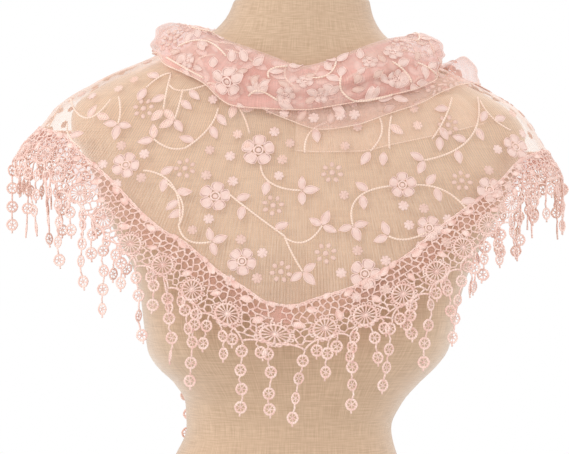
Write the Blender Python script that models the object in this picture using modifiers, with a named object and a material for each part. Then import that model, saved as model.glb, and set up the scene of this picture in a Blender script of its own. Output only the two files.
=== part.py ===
"""Lace shawl on a tabletop dress form.

A triangle of sheer net, edged with a band of guipure lace and a fringe of round
medallions, is worn point to the front. Its long edge is folded out into a cowl round
the neck, a second turn of it crosses the right shoulder, and the two ends are knotted
at the nape and hang down the back.

Frame: metres, +Z up, the front of the form towards -Y and its own left and right along
-X and +X as seen from the front. The origin is on the form's flat base, below the
middle of its neck.

Places on the cloth are given as a direction round the neck's axis (degrees from the
front, positive towards +X) and a drop in millimetres below the top of the neck.
"""

import math

import bmesh
import bpy
import numpy as np

MM = 0.001

# ---------------------------------------------------------------- driving sizes, in mm
NECK_TOP = 585.0  # height of the neck's flat cap above the flat base
CLOTH_WALL = 1.2  # wall of the net and of the lace
UNDER_WALL = 0.9  # wall of the layer between the form and the net
FORM_CLEARANCE = 4.5  # from the form to the middle of the net
UNDER_CLEARANCE = 2.0  # from the form to the middle of the layer under it
ROOM_BELOW_CLOTH = 3.0  # the net is clear of the form from this much below each place
SEAM_GAP = 0.5  # between pieces that are sewn to each other
BORDER_WIDTH = 42.0  # guipure band, from the net to the root of the fringe
REPEAT = 34.0  # one wheel of the guipure band
STRIP_HEIGHT = 1.8  # the cord that carries the fringe
STRIP_DEPTH = 1.4
STRIP_CLEARANCE = 0.6  # between the lace and that cord, besides the gap of a seam
STRAND_CLEARANCE = 3.5  # from the form to the middle of a strand
MEDALLION = 11.5  # diameter of a medallion of the fringe
MEDALLION_PITCH = 16.5
FIRST_MEDALLION = 9.0  # from the fringe's cord to the middle of the first medallion
LINK_WIDTH = 1.6  # thread between two medallions
LONG_STRAND = 4  # medallions on the strands between two wheels
SHORT_STRAND = 2  # medallions on the strands below a wheel
POINT_STRAND_AT = 3.0  # from the triangle's point to the first strand of the left side
MIDDLE_STRAND = 3  # medallions on the strands behind the right shoulder
RIGHT_SHOULDER = (52.0, 78.0, 100.0)  # short strands up to the second, then middle ones
FRINGE_SHORT_OF_NAPE = 20.0  # the fringe ends this far before the lace does

# ------------------------------------------------------------------------ the dress form
# Reach of each section from the neck's axis, in mm. "square" is the exponent of the
# superellipse: 2 is an ellipse, and more is squarer.
FORM_SECTIONS = {
    "drop": (0, 14, 28, 40, 50, 60, 72, 84, 96, 110, 125, 143, 165, 190, 220, 250, 275,
             292, 308, 322, 336, 352, 370, 393, 420, 455, 500, 545, 585),
    "left": (62, 68, 80, 99, 119, 141, 170, 192, 207, 212, 211, 200, 190, 182, 168, 153,
             147, 145, 143, 141, 133, 117, 107, 106, 117, 134, 147, 152, 153),
    "right": (62, 65, 72, 84, 97, 112, 137, 161, 182, 198, 205, 202, 194, 184, 168, 152,
              144, 140, 137, 133, 123, 107, 92, 82, 88, 106, 124, 131, 132),
    "front": (56, 58, 60, 62, 64, 67, 70, 74, 78, 82, 87, 94, 103, 112, 124, 135, 141,
              142, 138, 129, 117, 105, 96, 90, 92, 98, 106, 109, 108),
    "back": (58, 62, 66, 71, 76, 81, 87, 92, 97, 101, 105, 107, 107, 106, 103, 100, 97,
             95, 92, 89, 86, 82, 79, 77, 83, 97, 112, 118, 117),
    "square": (2.0, 2.0, 2.0, 2.0, 2.1, 2.1, 2.2, 2.3, 2.4, 2.5, 2.6, 2.7, 2.8, 2.9, 3.0,
               3.0, 3.0, 3.0, 2.9, 2.8, 2.7, 2.5, 2.3, 2.2, 2.2, 2.3, 2.4, 2.4, 2.4),
}
VALLEY_DEPTH = 27.0  # hollow between the two sides of the bust
VALLEY_WIDTH = 40.0
VALLEY_DROP = 283.0
VALLEY_HEIGHT = 52.0
FORM_RINGS = (14, 28, 40, 50, 60, 72, 84, 96, 112, 135, 165, 200, 235, 265, 288, 308, 324,
              338, 354, 374, 396, 428, 475, 530)
FORM_SIDES = 24

# ----------------------------------------------------------------------- how cloth hangs
# Reach of the hanging cloth where it leaves the form: beyond the tips of the shoulders
# and below the bust.
DRAPE_SECTIONS = {
    "drop": (40, 60, 72, 84, 100, 116, 130, 145, 160, 180, 210, 250, 285, 300, 350),
    "left": (103, 145, 174, 203, 226, 238, 250, 259, 265, 269, 271, 272, 272, 272, 272),
    "right": (90, 118, 143, 170, 197, 211, 219, 229, 237, 242, 246, 248, 248, 248, 248),
    "front": (66, 71, 74, 78, 83, 88, 93, 99, 105, 113, 125, 139, 146, 147, 148),
    "back": (76, 86, 92, 97, 103, 108, 111, 112, 112, 112, 112, 112, 112, 112, 112),
    "square": (2.1, 2.1, 2.2, 2.3, 2.4, 2.4, 2.4, 2.4, 2.5, 2.6, 2.8, 3.0, 3.0, 3.0, 3.0),
}
# The seam between net and lace, all round: a V in front, over the tips of the shoulders
# and up to the knot at the nape.
HEM = {
    "angle": (-176, -155, -135, -115, -100, -90, -84, -76, -69, -62.5, -56, -50.5, -45, -39,
              -35, -27.5, -19, -11.5, -4, 4, 12.5, 19, 28, 36, 42, 50, 58.5, 64.5, 70, 75,
              82, 100, 120, 140, 157, 176),
    "drop": (83, 93, 105, 116, 119, 118, 119, 125, 145, 163, 183, 199, 212, 222, 231, 248,
             262, 274, 276.5, 270.5, 264, 258, 244, 230, 216, 199, 181, 166, 152, 144, 139,
             139, 129, 112, 97, 83),
}
PANEL_TOP = {  # upper edge of the net, hidden in the cowl
    "angle": (-176, -135, -90, -45, 0, 45, 90, 135, 176),
    "drop": (52, 52, 50, 70, 88, 74, 56, 53, 52),
}
NAPE_LIMIT = 178.7  # direction at which the two ends of the lace stop
APEX = -8.0  # direction of the point of the triangle
FLUTE_LENGTH = 74.0  # waves of the lace beyond the shoulders
FLUTE_DEPTH = 5.0
FLUTE_REACH = 230.0  # mean reach of the lace there
FLUTE_RISE = (45.0, 80.0)  # directions over which the waves grow, on both sides
FLUTE_FALL = (125.0, 155.0)  # and over which they end
FLUTE_ABOVE_SEAM = 25.0  # how far above the seam they start
# Over the tip of the right shoulder the lace is tucked, so less of its width shows.
TUCK = {"angle": (44, 62, 86, 108), "share": (1.0, 0.8, 0.8, 1.0)}

# ------------------------------------------------------------- the turns round the neck
COWL_SPLIT = 96.0  # direction at which the cowl's front and back stretches meet
# Each turn is a strip of net whose section runs from its inner edge over a crest and a
# bulge to its lower edge. A "reach" is from the neck's axis and a "lift" is above the
# net that covers the form. All are in mm, by direction.
COWL = {
    "folds": 3.2,
    "fold_depth": 3.4,
    "angle": (-180, -135, -100, -82, -65, -50, -35, -20, 0, 20, 35, 50, 62, 70, 80, 100, 135, 180),
    "inner_reach": (79, 87, 96, 98, 93, 84, 79, 76, 73.6, 76, 80, 86, 90, 93, 94, 93, 85, 79),
    "inner_drop": (40, 36, 32, 32, 37, 45, 53, 60, 70, 65, 57, 50, 44, 42, 40, 38, 38, 40),
    "crest_reach": (88, 98, 116, 122, 102, 91, 84, 80, 77.5, 80, 85, 92, 98, 104, 110, 106, 95, 88),
    "crest_drop": (27, 24, 21, 22, 29, 40, 48, 56, 65, 58.5, 49.5, 41.5, 37, 35, 31.5, 31, 32, 27),
    "bulge_reach": (104, 119, 134, 136, 126, 116, 108, 98, 95, 99, 107, 117, 125, 127, 130, 128,
                    114, 104),
    "bulge_drop": (44, 41, 38, 38, 48, 62, 77, 84, 87, 82, 75, 66, 58, 53, 48, 46, 43, 44),
    "lower_lift": (8, 7, 6, 6, 6, 6, 6, 6.5, 6.5, 7, 7, 7, 7, 3.6, 4.5, 7, 7, 8),
    "lower_drop": (61, 58, 50.5, 50.5, 65, 80, 102, 104.5, 105.5, 101, 96, 89, 79, 69, 60, 56, 56, 61),
}
TURN = {
    "folds": 2.6,
    "fold_depth": 1.6,
    "angle": (-24, -8, 10, 27, 42, 54, 62, 66, 71, 76, 88, 100, 120, 145, 172),
    "inner_lift": (3, 3, 3, 3, 3, 3, 3, 3, 3.5, 4, 5, 5, 5, 5, 4),
    "inner_drop": (95, 95, 94, 90, 85, 81, 77, 75.5, 72, 68, 62, 62, 65, 70, 72),
    "crest_lift": (3, 3.4, 3.6, 3.6, 3.6, 3.5, 3.6, 4.4, 11, 19, 40, 39, 28, 15, 8),
    "crest_drop": (98, 100, 101, 98, 92, 86, 80.5, 78, 69.5, 62.5, 52, 53, 58, 66, 72),
    "bulge_lift": (3, 4, 5, 5, 5, 5, 5, 6, 9, 14, 25, 24, 18, 13, 8),
    "bulge_drop": (100, 107, 112, 109, 101, 93, 84.5, 80.5, 74.5, 71, 66, 67, 70, 75, 78),
    "lower_lift": (3, 3, 3, 3, 3, 3, 3, 3, 3, 3, 3, 3, 3.5, 4, 4),
    "lower_drop": (103, 114, 123, 119, 108.5, 98.5, 88.5, 85, 81, 79.5, 78.5, 80, 82, 83, 84),
}
TURN_COLUMNS = (-24, -16, -8, 1, 10, 19, 27, 35, 42, 49, 55, 60, 65, 70, 75, 80, 86, 92, 100,
                110, 120, 132, 145, 158, 172)
UNDER_LAYER = {  # the crescent of net between the form and the front
    "angle": (-4, 10, 28, 42, 57, 70),
    "top": (108, 108, 106, 101, 95, 88),
    "edge": (142, 143, 142.5, 136, 127, 116),
}

# --------------------------------------------------------------- the knot and the tails
KNOT_DROP = 88.0  # middle of the knot
KNOT_REACH = 122.0  # how far behind the neck's axis
KNOT_RADII = (33.0, 15.0, 22.0)
KNOT_REST = 113.0  # its flat side lies no nearer to the neck's axis than this
KNOT_CLEARANCE = 1.4
TAILS = {
    # side, where the plain edge starts and ends, and the length
    "left": {"side": -1, "start_x": -1.5, "end_x": -48.0, "length": 335.0},
    "right": {"side": 1, "start_x": 1.5, "end_x": 6.0, "length": 222.0},
}
TAIL_TOP = 112.0  # drop at which the tails leave the knot
TAIL_WIDTHS = {"share": (0.0, 0.12, 0.35, 0.65, 1.0), "width": (20, 42, 60, 38, 6)}
TAIL_PLEATS = 2.0
TAIL_PLEAT_DEPTH = 3.5
TAIL_BORDER_FROM = 0.05  # where the lace leaves the knot
TAIL_BAND_SHARES = {"share": (0.0, 0.1, 0.3, 1.0), "width": (0.3, 0.4, 1.0, 1.0)}
TAIL_FRINGE_FROM = 0.34
LAYER_SHIFTS = (1.9, -1.9, 4.3, -4.3)  # strands of a steep edge hang in four layers

# --------------------------------------------------------------------- colours and looks
NET_COLOUR = (0.87, 0.62, 0.58, 1.0)
LACE_COLOUR = (0.90, 0.68, 0.64, 1.0)
LINEN_COLOUR = (0.70, 0.55, 0.40, 1.0)


# ------------------------------------------------------------------------------ formulas
def along_table(xs, ys, at):
    """Smooth curve through a table, with no overshoot between its rows."""
    xs = np.asarray(xs, float)
    ys = np.asarray(ys, float)
    at = np.clip(np.asarray(at, float), xs[0], xs[-1])
    steps = np.diff(xs)
    slopes = np.diff(ys) / steps
    bends = np.zeros_like(ys)
    bends[0], bends[-1] = slopes[0], slopes[-1]
    same_way = slopes[:-1] * slopes[1:] > 0
    mean = np.zeros(len(slopes) - 1)
    mean[same_way] = (
        2.0 * slopes[:-1][same_way] * slopes[1:][same_way]
        / (slopes[:-1][same_way] + slopes[1:][same_way])
    )
    bends[1:-1] = mean
    row = np.clip(np.searchsorted(xs, at, side="right") - 1, 0, len(xs) - 2)
    t = (at - xs[row]) / steps[row]
    return (
        ys[row] * (1 + 2 * t) * (1 - t) ** 2
        + ys[row + 1] * t * t * (3 - 2 * t)
        + steps[row] * t * (1 - t) * (bends[row] * (1 - t) - bends[row + 1] * t)
    )


def smooth_step(low, high, value):
    t = np.clip((np.asarray(value, float) - low) / (high - low), 0.0, 1.0)
    return t * t * (3 - 2 * t)


def section_reach(sections, angle, drop):
    """Distance from the neck's axis to a section's outline, in a direction."""
    turn = np.radians(angle)
    across, ahead = np.sin(turn), np.cos(turn)
    left, right, front, back, square = (
        along_table(sections["drop"], sections[name], drop)
        for name in ("left", "right", "front", "back", "square")
    )
    half_width = np.where(across < 0, left, right)
    half_depth = np.where(ahead > 0, front, back)
    return (
        (np.abs(across) / half_width) ** square + (np.abs(ahead) / half_depth) ** square
    ) ** (-1.0 / square)


def form_reach(angle, drop):
    """The form's surface, with the hollow between the two sides of its bust."""
    reach = section_reach(FORM_SECTIONS, angle, drop)
    turn = np.radians(angle)
    sideways = reach * np.sin(turn)
    hollow = (
        VALLEY_DEPTH
        * np.exp(-((sideways / VALLEY_WIDTH) ** 2))
        * np.exp(-(((drop - VALLEY_DROP) / VALLEY_HEIGHT) ** 2))
    )
    return reach - hollow * np.clip(np.cos(turn), 0.0, 1.0)


def hem_drop(angle):
    return along_table(HEM["angle"], HEM["drop"], angle)


def cloth_reach(angle, drop):
    """The middle of the net and lace: on the form, or hanging clear of it."""
    hanging = section_reach(DRAPE_SECTIONS, angle, drop)
    on_form = section_reach(FORM_SECTIONS, angle, np.asarray(drop) + ROOM_BELOW_CLOTH)
    on_form = on_form + FORM_CLEARANCE
    beyond_shoulder = smooth_step(*FLUTE_RISE, np.abs(angle))
    beyond_shoulder = beyond_shoulder * (1.0 - smooth_step(*FLUTE_FALL, np.abs(angle)))
    near_edge = smooth_step(-FLUTE_ABOVE_SEAM, BORDER_WIDTH, drop - hem_drop(angle))
    along_edge = np.radians(angle) * FLUTE_REACH * 2 * math.pi / FLUTE_LENGTH
    # The waves only lift the cloth, so that it stays clear of the form.
    wave = 0.5 + 0.5 * np.sin(along_edge)
    return np.maximum(hanging, on_form) + FLUTE_DEPTH * beyond_shoulder * near_edge * wave


def point_at(reach, angle, drop):
    """A place in the frame, in mm, from a reach, a direction and a drop."""
    turn = np.radians(angle)
    return np.stack(
        np.broadcast_arrays(
            reach * np.sin(turn), -reach * np.cos(turn), NECK_TOP - np.asarray(drop, float)
        ),
        axis=-1,
    )


def on_cloth(angle, drop):
    return point_at(cloth_reach(angle, drop), angle, drop)


def arc_lengths(points):
    steps = np.linalg.norm(np.diff(points, axis=0), axis=1)
    return np.concatenate([[0.0], np.cumsum(steps)])


class HemBand:
    """The lace band round the net, in two sides that start from the triangle's point."""

    def __init__(self):
        angles = np.linspace(HEM["angle"][0], HEM["angle"][-1], 1400)
        drops = hem_drop(angles)
        seam = on_cloth(angles, drops)
        self.angles, self.drops = angles, drops
        self.lengths = arc_lengths(seam)
        self.point = float(np.interp(APEX, angles, self.lengths))
        tangent = np.gradient(seam, axis=0)
        small = 0.05
        by_angle = (on_cloth(angles + small, drops) - on_cloth(angles - small, drops)) / (2 * small)
        by_drop = (on_cloth(angles, drops + small) - on_cloth(angles, drops - small)) / (2 * small)
        outward = np.cross(tangent, np.cross(by_drop, by_angle))
        outward *= np.sign(np.sum(outward * by_drop, axis=1))[:, None]
        outward /= np.linalg.norm(outward, axis=1)[:, None]
        # Steps of direction and drop that carry a point one millimetre out from the seam.
        aa = np.sum(by_angle * by_angle, axis=1)
        ad = np.sum(by_angle * by_drop, axis=1)
        dd = np.sum(by_drop * by_drop, axis=1)
        ao = np.sum(by_angle * outward, axis=1)
        do = np.sum(by_drop * outward, axis=1)
        determinant = aa * dd - ad * ad
        self.angle_steps = running_mean((ao * dd - do * ad) / determinant)
        self.drop_steps = running_mean((do * aa - ao * ad) / determinant)

    def side(self, sign):
        """The placing function of one side and the length of that side."""
        length = self.lengths[-1] - self.point if sign > 0 else self.point

        def place(along, out):
            station = self.point + sign * along
            angle = np.interp(station, self.lengths, self.angles)
            drop = np.interp(station, self.lengths, self.drops)
            on_lace = np.minimum(out, BORDER_WIDTH)
            out = on_lace * along_table(TUCK["angle"], TUCK["share"], angle) + (out - on_lace)
            angle = angle + out * np.interp(station, self.lengths, self.angle_steps)
            drop = drop + out * np.interp(station, self.lengths, self.drop_steps)
            return on_cloth(np.clip(angle, -NAPE_LIMIT, NAPE_LIMIT), drop)

        return place, length


def running_mean(values, reach=36):
    """Evened values, so that a band turns its corners without a pinch."""
    padded = np.pad(values, reach, mode="edge")
    return np.convolve(padded, np.ones(2 * reach + 1) / (2 * reach + 1), mode="valid")


class Tail:
    """One hanging end: a pleated net with lace along its outer edge."""

    def __init__(self, side, start_x, end_x, length):
        self.side, self.start_x, self.end_x, self.length = side, start_x, end_x, length
        self.shares = np.linspace(TAIL_BORDER_FROM, 1.0, 300)
        edge = np.array([self.flat_edge(share) for share in self.shares])
        self.lengths = arc_lengths(edge)
        tangent = np.gradient(edge, axis=0)
        normal = np.stack([-tangent[:, 1], tangent[:, 0]], axis=1)
        normal *= np.sign(normal[:, 0] * side)[:, None]
        self.edge = edge
        self.normal = normal / np.linalg.norm(normal, axis=1)[:, None]

    def plain_x(self, share):
        return self.start_x + (self.end_x - self.start_x) * smooth_step(-0.3, 1.1, share)

    def flat_edge(self, share):
        """Where the lace is sewn on, as x and drop."""
        width = along_table(TAIL_WIDTHS["share"], TAIL_WIDTHS["width"], share)
        return np.array([float(self.plain_x(share) + self.side * width), self.drop(share)])

    def drop(self, share):
        return TAIL_TOP + self.length * float(share)

    def on_net(self, share, across):
        """across is 0 at the plain edge and 1 at the lace."""
        width = float(along_table(TAIL_WIDTHS["share"], TAIL_WIDTHS["width"], share))
        x = float(self.plain_x(share)) + self.side * width * across
        fan = min(share / 0.25, 1.0) * (1.0 - float(smooth_step(0.7, 1.0, across)))
        pleat = math.cos(2 * math.pi * TAIL_PLEATS * across)
        under_knot = KNOT_DROP + knot_half_height(x) + SEAM_GAP
        drop = self.drop(share) + (under_knot - TAIL_TOP) * max(0.0, 1.0 - share / TAIL_BORDER_FROM)
        return np.array([x, KNOT_REACH + TAIL_PLEAT_DEPTH * fan * pleat, NECK_TOP - drop])

    def on_band(self, along, out):
        """A place on the lace, by the distance along its seam and out from it."""
        share = float(np.interp(along, self.lengths, self.shares))
        # Near the knot the lace is gathered, so it is narrower there.
        gathered = along_table(TAIL_BAND_SHARES["share"], TAIL_BAND_SHARES["width"], share)
        on_lace = min(out, BORDER_WIDTH) - SEAM_GAP
        out = SEAM_GAP + on_lace * float(gathered) + max(out - BORDER_WIDTH, 0.0)
        x, drop = (
            float(np.interp(along, self.lengths, self.edge[:, k] + out * self.normal[:, k]))
            for k in (0, 1)
        )
        return np.array([x, KNOT_REACH, NECK_TOP - drop])


def knot_half_height(x):
    waist = 1.0 - 0.18 * math.exp(-((x / 9.0) ** 2))
    return KNOT_RADII[2] * waist * math.sqrt(max(0.0, 1.0 - (x / KNOT_RADII[0]) ** 2))


def on_turn(turn, angle, share):
    """Place on a turn round the neck: share runs from its inner to its lower edge."""
    reaches, drops = [], []
    for corner in ("inner", "crest", "bulge", "lower"):
        drop = float(along_table(turn["angle"], turn[corner + "_drop"], angle))
        drops.append(drop)
        if corner + "_reach" in turn:
            reaches.append(float(along_table(turn["angle"], turn[corner + "_reach"], angle)))
        else:
            lift = float(along_table(turn["angle"], turn[corner + "_lift"], angle))
            reaches.append(float(cloth_reach(angle, drop)) + lift)
    stops = (0.0, 0.3, 0.66, 1.0)
    reach = float(along_table(stops, reaches, share))
    # Lengthwise folds on the outer side, drifting down as they go round the neck.
    outer_side = float(smooth_step(0.3, 0.5, share) * (1.0 - smooth_step(0.84, 1.0, share)))
    phase = share * turn["folds"] + angle / 210.0
    reach += turn["fold_depth"] * outer_side * (0.5 + 0.5 * math.cos(2 * math.pi * phase))
    return point_at(reach, angle, float(along_table(stops, drops, share)))


# ------------------------------------------------------------------------------- builders
def clear_scene():
    for found in list(bpy.data.objects):
        bpy.data.objects.remove(found, do_unlink=True)


def material(name, colour, roughness):
    made = bpy.data.materials.new(name)
    made.use_nodes = True
    shader = made.node_tree.nodes["Principled BSDF"]
    shader.inputs["Base Color"].default_value = colour
    shader.inputs["Roughness"].default_value = roughness
    shader.inputs["Metallic"].default_value = 0.0
    return made


def add_object(name, mesh_data, collection, finish):
    made = bpy.data.objects.new(name, mesh_data)
    made.data.materials.append(finish)
    collection.objects.link(made)
    return made


def finished_mesh(name, geometry):
    mesh_data = bpy.data.meshes.new(name)
    geometry.to_mesh(mesh_data)
    geometry.free()
    mesh_data.shade_smooth()
    mesh_data.set_sharp_from_angle(angle=math.radians(50.0))
    return mesh_data


def cloth_wall(name, columns, rows, place, wall, collection, finish, is_open=None):
    """A wall of cloth: a grid moved onto its form and thickened, with open cells cut."""
    geometry = bmesh.new()
    across, down = len(columns) - 1, len(rows) - 1
    bmesh.ops.create_grid(geometry, x_segments=across, y_segments=down, size=0.5)
    cell_of = {}
    for vertex in geometry.verts:
        column = round((vertex.co.x + 0.5) * across)
        row = round((vertex.co.y + 0.5) * down)
        cell_of[vertex] = (column, row)
    if is_open:
        cut = []
        for face in geometry.faces:
            column = min(cell_of[v][0] for v in face.verts)
            row = min(cell_of[v][1] for v in face.verts)
            if is_open(column, row):
                cut.append(face)
        bmesh.ops.delete(geometry, geom=cut, context="FACES")
    for vertex, (column, row) in cell_of.items():
        vertex.co = place(columns[column], rows[row]) * MM
    made = add_object(name, finished_mesh(name, geometry), collection, finish)
    thickness = made.modifiers.new("wall", "SOLIDIFY")
    thickness.thickness = wall * MM
    thickness.offset = 0.0
    return made


def dress_form(collection, finish):
    """The torso: a cylinder whose rings are moved out to the form's sections."""
    geometry = bmesh.new()
    bmesh.ops.create_cone(
        geometry, cap_ends=True, cap_tris=False, segments=FORM_SIDES,
        radius1=1.0, radius2=1.0, depth=NECK_TOP,
    )
    bmesh.ops.translate(geometry, verts=geometry.verts, vec=(0.0, 0.0, NECK_TOP / 2))
    for drop in FORM_RINGS:
        bmesh.ops.bisect_plane(
            geometry,
            geom=geometry.verts[:] + geometry.edges[:] + geometry.faces[:],
            plane_co=(0.0, 0.0, NECK_TOP - drop),
            plane_no=(0.0, 0.0, 1.0),
        )
    for vertex in geometry.verts:
        angle = math.degrees(math.atan2(vertex.co.x, -vertex.co.y))
        drop = NECK_TOP - vertex.co.z
        vertex.co = point_at(form_reach(angle, drop), angle, drop) * MM
    return add_object("dress_form", finished_mesh("dress_form", geometry), collection, finish)


def front_panel(band, collection, finish):
    """The net, from inside the cowl down to the seam with the lace."""
    stations = []
    for sign in (-1, 1):
        _, length = band.side(sign)
        stations.extend(band.point + sign * Repeats(length, True).columns)
    stations = np.delete(np.sort(stations), np.searchsorted(np.sort(stations), band.point))
    angles = np.interp(stations, band.lengths, band.angles)
    shares = np.linspace(0.0, 1.0, 5)

    def place(angle, share):
        top = along_table(PANEL_TOP["angle"], PANEL_TOP["drop"], angle)
        return on_cloth(angle, top + (hem_drop(angle) - top) * share)

    return cloth_wall("front_panel", angles, shares, place, CLOTH_WALL, collection, finish)


def under_layer(collection, finish):
    """The crescent of a second layer, close to the form."""
    angles = np.linspace(UNDER_LAYER["angle"][0], UNDER_LAYER["angle"][-1], 10)
    shares = np.linspace(0.0, 1.0, 4)

    def place(angle, share):
        top = along_table(UNDER_LAYER["angle"], UNDER_LAYER["top"], angle)
        edge = along_table(UNDER_LAYER["angle"], UNDER_LAYER["edge"], angle)
        drop = top + (edge - top) * share
        reach = section_reach(FORM_SECTIONS, angle, drop + 1.0) + UNDER_CLEARANCE
        return point_at(reach, angle, drop)

    return cloth_wall("under_layer", angles, shares, place, UNDER_WALL, collection, finish)


def turn_of_cloth(name, turn, angles, collection, finish):
    """One stretch of a turn round the neck."""
    shares = np.array([0.0, 0.16, 0.3, 0.42, 0.54, 0.66, 0.78, 0.89, 1.0])
    return cloth_wall(
        name, angles, shares, lambda angle, share: on_turn(turn, angle, share),
        CLOTH_WALL, collection, finish,
    )


# The lace band: half the width of the cells between two wheels, and the band's rows.
HOLE_HALF_WIDTH = 3.5
BORDER_ROWS = (SEAM_GAP, 13.0, 18.0, 24.0, 30.5, BORDER_WIDTH)
HOLE_ROWS = (1, 3)  # the cells that are cut through between two wheels


class Repeats:
    """The repeats of one band: wheels, with a narrow column of cells between each two."""

    def __init__(self, length, starts_at_wheel):
        self.count = max(1, round(length / REPEAT))
        self.pitch = length / self.count
        middles = (np.arange(self.count + 1) + 0.5 * starts_at_wheel) * self.pitch
        half = HOLE_HALF_WIDTH * self.pitch / REPEAT
        edges = np.sort(np.concatenate([middles - half, middles + half]))
        edges = edges[(edges > 0.0) & (edges < length)]
        self.columns = np.array([SEAM_GAP / 2, *edges, length - SEAM_GAP / 2])
        self.first_narrow = 1 if starts_at_wheel else 2

    def is_hole(self, column, row):
        narrow = column >= self.first_narrow and (column - self.first_narrow) % 2 == 0
        return narrow and column < len(self.columns) - 2 and row in HOLE_ROWS


def lace_band(name, place, repeats, collection, finish):
    """The guipure band, cut through at the two largest gaps of each repeat."""
    return cloth_wall(
        name, repeats.columns, np.array(BORDER_ROWS), place, CLOTH_WALL, collection, finish,
        repeats.is_hole,
    )


def strand_profile(medallions):
    """Stations of a strand: how far below its root, and half its width there."""
    stations = []
    for number in range(medallions):
        middle = FIRST_MEDALLION + number * MEDALLION_PITCH
        stations.append((middle - 0.44 * MEDALLION, LINK_WIDTH))
        stations.append((middle, 0.52 * MEDALLION))
        stations.append((middle + 0.44 * MEDALLION, LINK_WIDTH))
    return stations


def clear_of_form(point):
    """The point, moved out where the form would be in a hanging strand's way."""
    x, y, z = point
    reach = math.hypot(x, y)
    angle = math.degrees(math.atan2(x, -y))
    least = float(form_reach(angle, NECK_TOP - z)) + STRAND_CLEARANCE
    if reach >= least:
        return point
    return np.array([x * least / reach, y * least / reach, z])


def face_between(corners):
    """The face that these four corners share."""
    return set.intersection(*(set(corner.link_faces) for corner in corners)).pop()


def extruded(geometry, face, corners):
    """Pulls a four-cornered face out to new corners and returns the face at its end."""
    old = list(face.verts)
    made = bmesh.ops.extrude_discrete_faces(geometry, faces=[face])["faces"][0]
    new = list(made.verts)
    # Each new corner is linked to the old one that it was pulled from.
    for vertex in new:
        origin = next(edge.other_vert(vertex) for edge in vertex.link_edges
                      if edge.other_vert(vertex) in old)
        vertex.co = corners[old.index(origin)]
    return made


def fringe(name, rail, root_places, strand_sizes, collection, finish, shifts=(0.0,)):
    """A cord along the lace's edge with strands of medallions fused to it.

    rail(along) gives the middle of the cord and the direction that faces outward.
    """
    half_root = LINK_WIDTH / 2
    stations = sorted(
        [root - half_root for root in root_places] + [root + half_root for root in root_places]
    )

    def section(along):
        middle, outward = rail(along)
        out = outward * STRIP_DEPTH / 2
        up = np.array([0.0, 0.0, STRIP_HEIGHT / 2])
        return [middle - out + up, middle + out + up, middle + out - up, middle - out - up]

    geometry = bmesh.new()
    bmesh.ops.create_grid(geometry, x_segments=1, y_segments=1, size=0.5)
    first = geometry.faces[:][0]
    corners = list(first.verts)
    for vertex, place in zip(corners, section(stations[0])):
        vertex.co = place * MM
    # The first face stays as the cord's end, so a copy of it is the one pulled out.
    made = bmesh.ops.extrude_face_region(geometry, geom=[first], use_keep_orig=True)["geom"]
    end = next(item for item in made if isinstance(item, bmesh.types.BMFace))
    rings = [corners]
    order = [
        next(edge.other_vert(v) for edge in v.link_edges if edge.other_vert(v) in end.verts)
        for v in corners
    ]
    for vertex, place in zip(order, section(stations[1])):
        vertex.co = place * MM
    rings.append(order)
    for along in stations[2:]:
        goal = dict(zip(rings[-1], section(along)))
        before = list(end.verts)
        end = extruded(geometry, end, [goal[v] * MM for v in before])
        rings.append([
            next(edge.other_vert(v) for edge in v.link_edges if edge.other_vert(v) in end.verts)
            for v in rings[-1]
        ])
    for number, medallions in enumerate(strand_sizes):
        near, far = rings[2 * number], rings[2 * number + 1]
        tip = face_between([near[2], near[3], far[2], far[3]])
        middle, outward = rail(root_places[number])
        sideways = np.cross(outward, [0.0, 0.0, 1.0])
        sideways *= np.sign(np.dot(sideways, rail(root_places[number] + 1.0)[0] - middle))
        side_of = {near[2]: (-1, 1), near[3]: (-1, -1), far[2]: (1, 1), far[3]: (1, -1)}
        shift = outward * shifts[number % len(shifts)]
        for below, half_width in strand_profile(medallions):
            centre = clear_of_form(middle + shift - np.array([0.0, 0.0, below]))
            places = {
                key: (centre + sideways * a * half_width + outward * b * STRIP_DEPTH / 2) * MM
                for key, (a, b) in side_of.items()
            }
            before = list(tip.verts)
            tip = extruded(geometry, tip, [places[v] for v in before])
            side_of = {
                next(e.other_vert(v) for e in v.link_edges if e.other_vert(v) in tip.verts): side
                for v, side in side_of.items()
            }
    bmesh.ops.recalc_face_normals(geometry, faces=geometry.faces[:])
    if geometry.calc_volume(signed=True) < 0.0:
        bmesh.ops.reverse_faces(geometry, faces=geometry.faces[:])
    return add_object(name, finished_mesh(name, geometry), collection, finish)


def edge_rail(place, repeats):
    """The middle of the fringe's cord along a band, and the way that faces outward."""
    columns = np.array([0.0, *repeats.columns[1:-1], repeats.count * repeats.pitch])
    out = BORDER_WIDTH + SEAM_GAP + STRIP_HEIGHT / 2 + STRIP_CLEARANCE
    corners = np.array([place(column, out) for column in columns])

    def rail(along):
        edge = np.array([np.interp(along, columns, corners[:, axis]) for axis in range(3)])
        ahead = place(along + 4.0, BORDER_WIDTH) - place(along - 4.0, BORDER_WIDTH)
        outward = np.cross(ahead, [0.0, 0.0, 1.0])
        outward /= np.linalg.norm(outward)
        return edge, outward * np.sign(np.dot(outward, [edge[0], edge[1], 0.0]))

    return rail


def band_fringe(name, place, repeats, roots, collection, finish):
    """Long strands between two wheels and short ones below a wheel, along one band."""
    roots, sizes = list(roots), [LONG_STRAND] * len(roots)
    for number in range(1, 2 * repeats.count + 1):
        root = number * repeats.pitch / 2
        if root > repeats.count * repeats.pitch - FRINGE_SHORT_OF_NAPE:
            break
        x, y, _ = place(root, BORDER_WIDTH)
        front, side, back = RIGHT_SHOULDER
        direction = math.degrees(math.atan2(x, -y))
        size = LONG_STRAND if number % 2 and not front < direction < side else SHORT_STRAND
        roots.append(root)
        sizes.append(min(size, MIDDLE_STRAND) if side <= direction < back else size)
    return fringe(name, edge_rail(place, repeats), roots, sizes, collection, finish)


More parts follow.
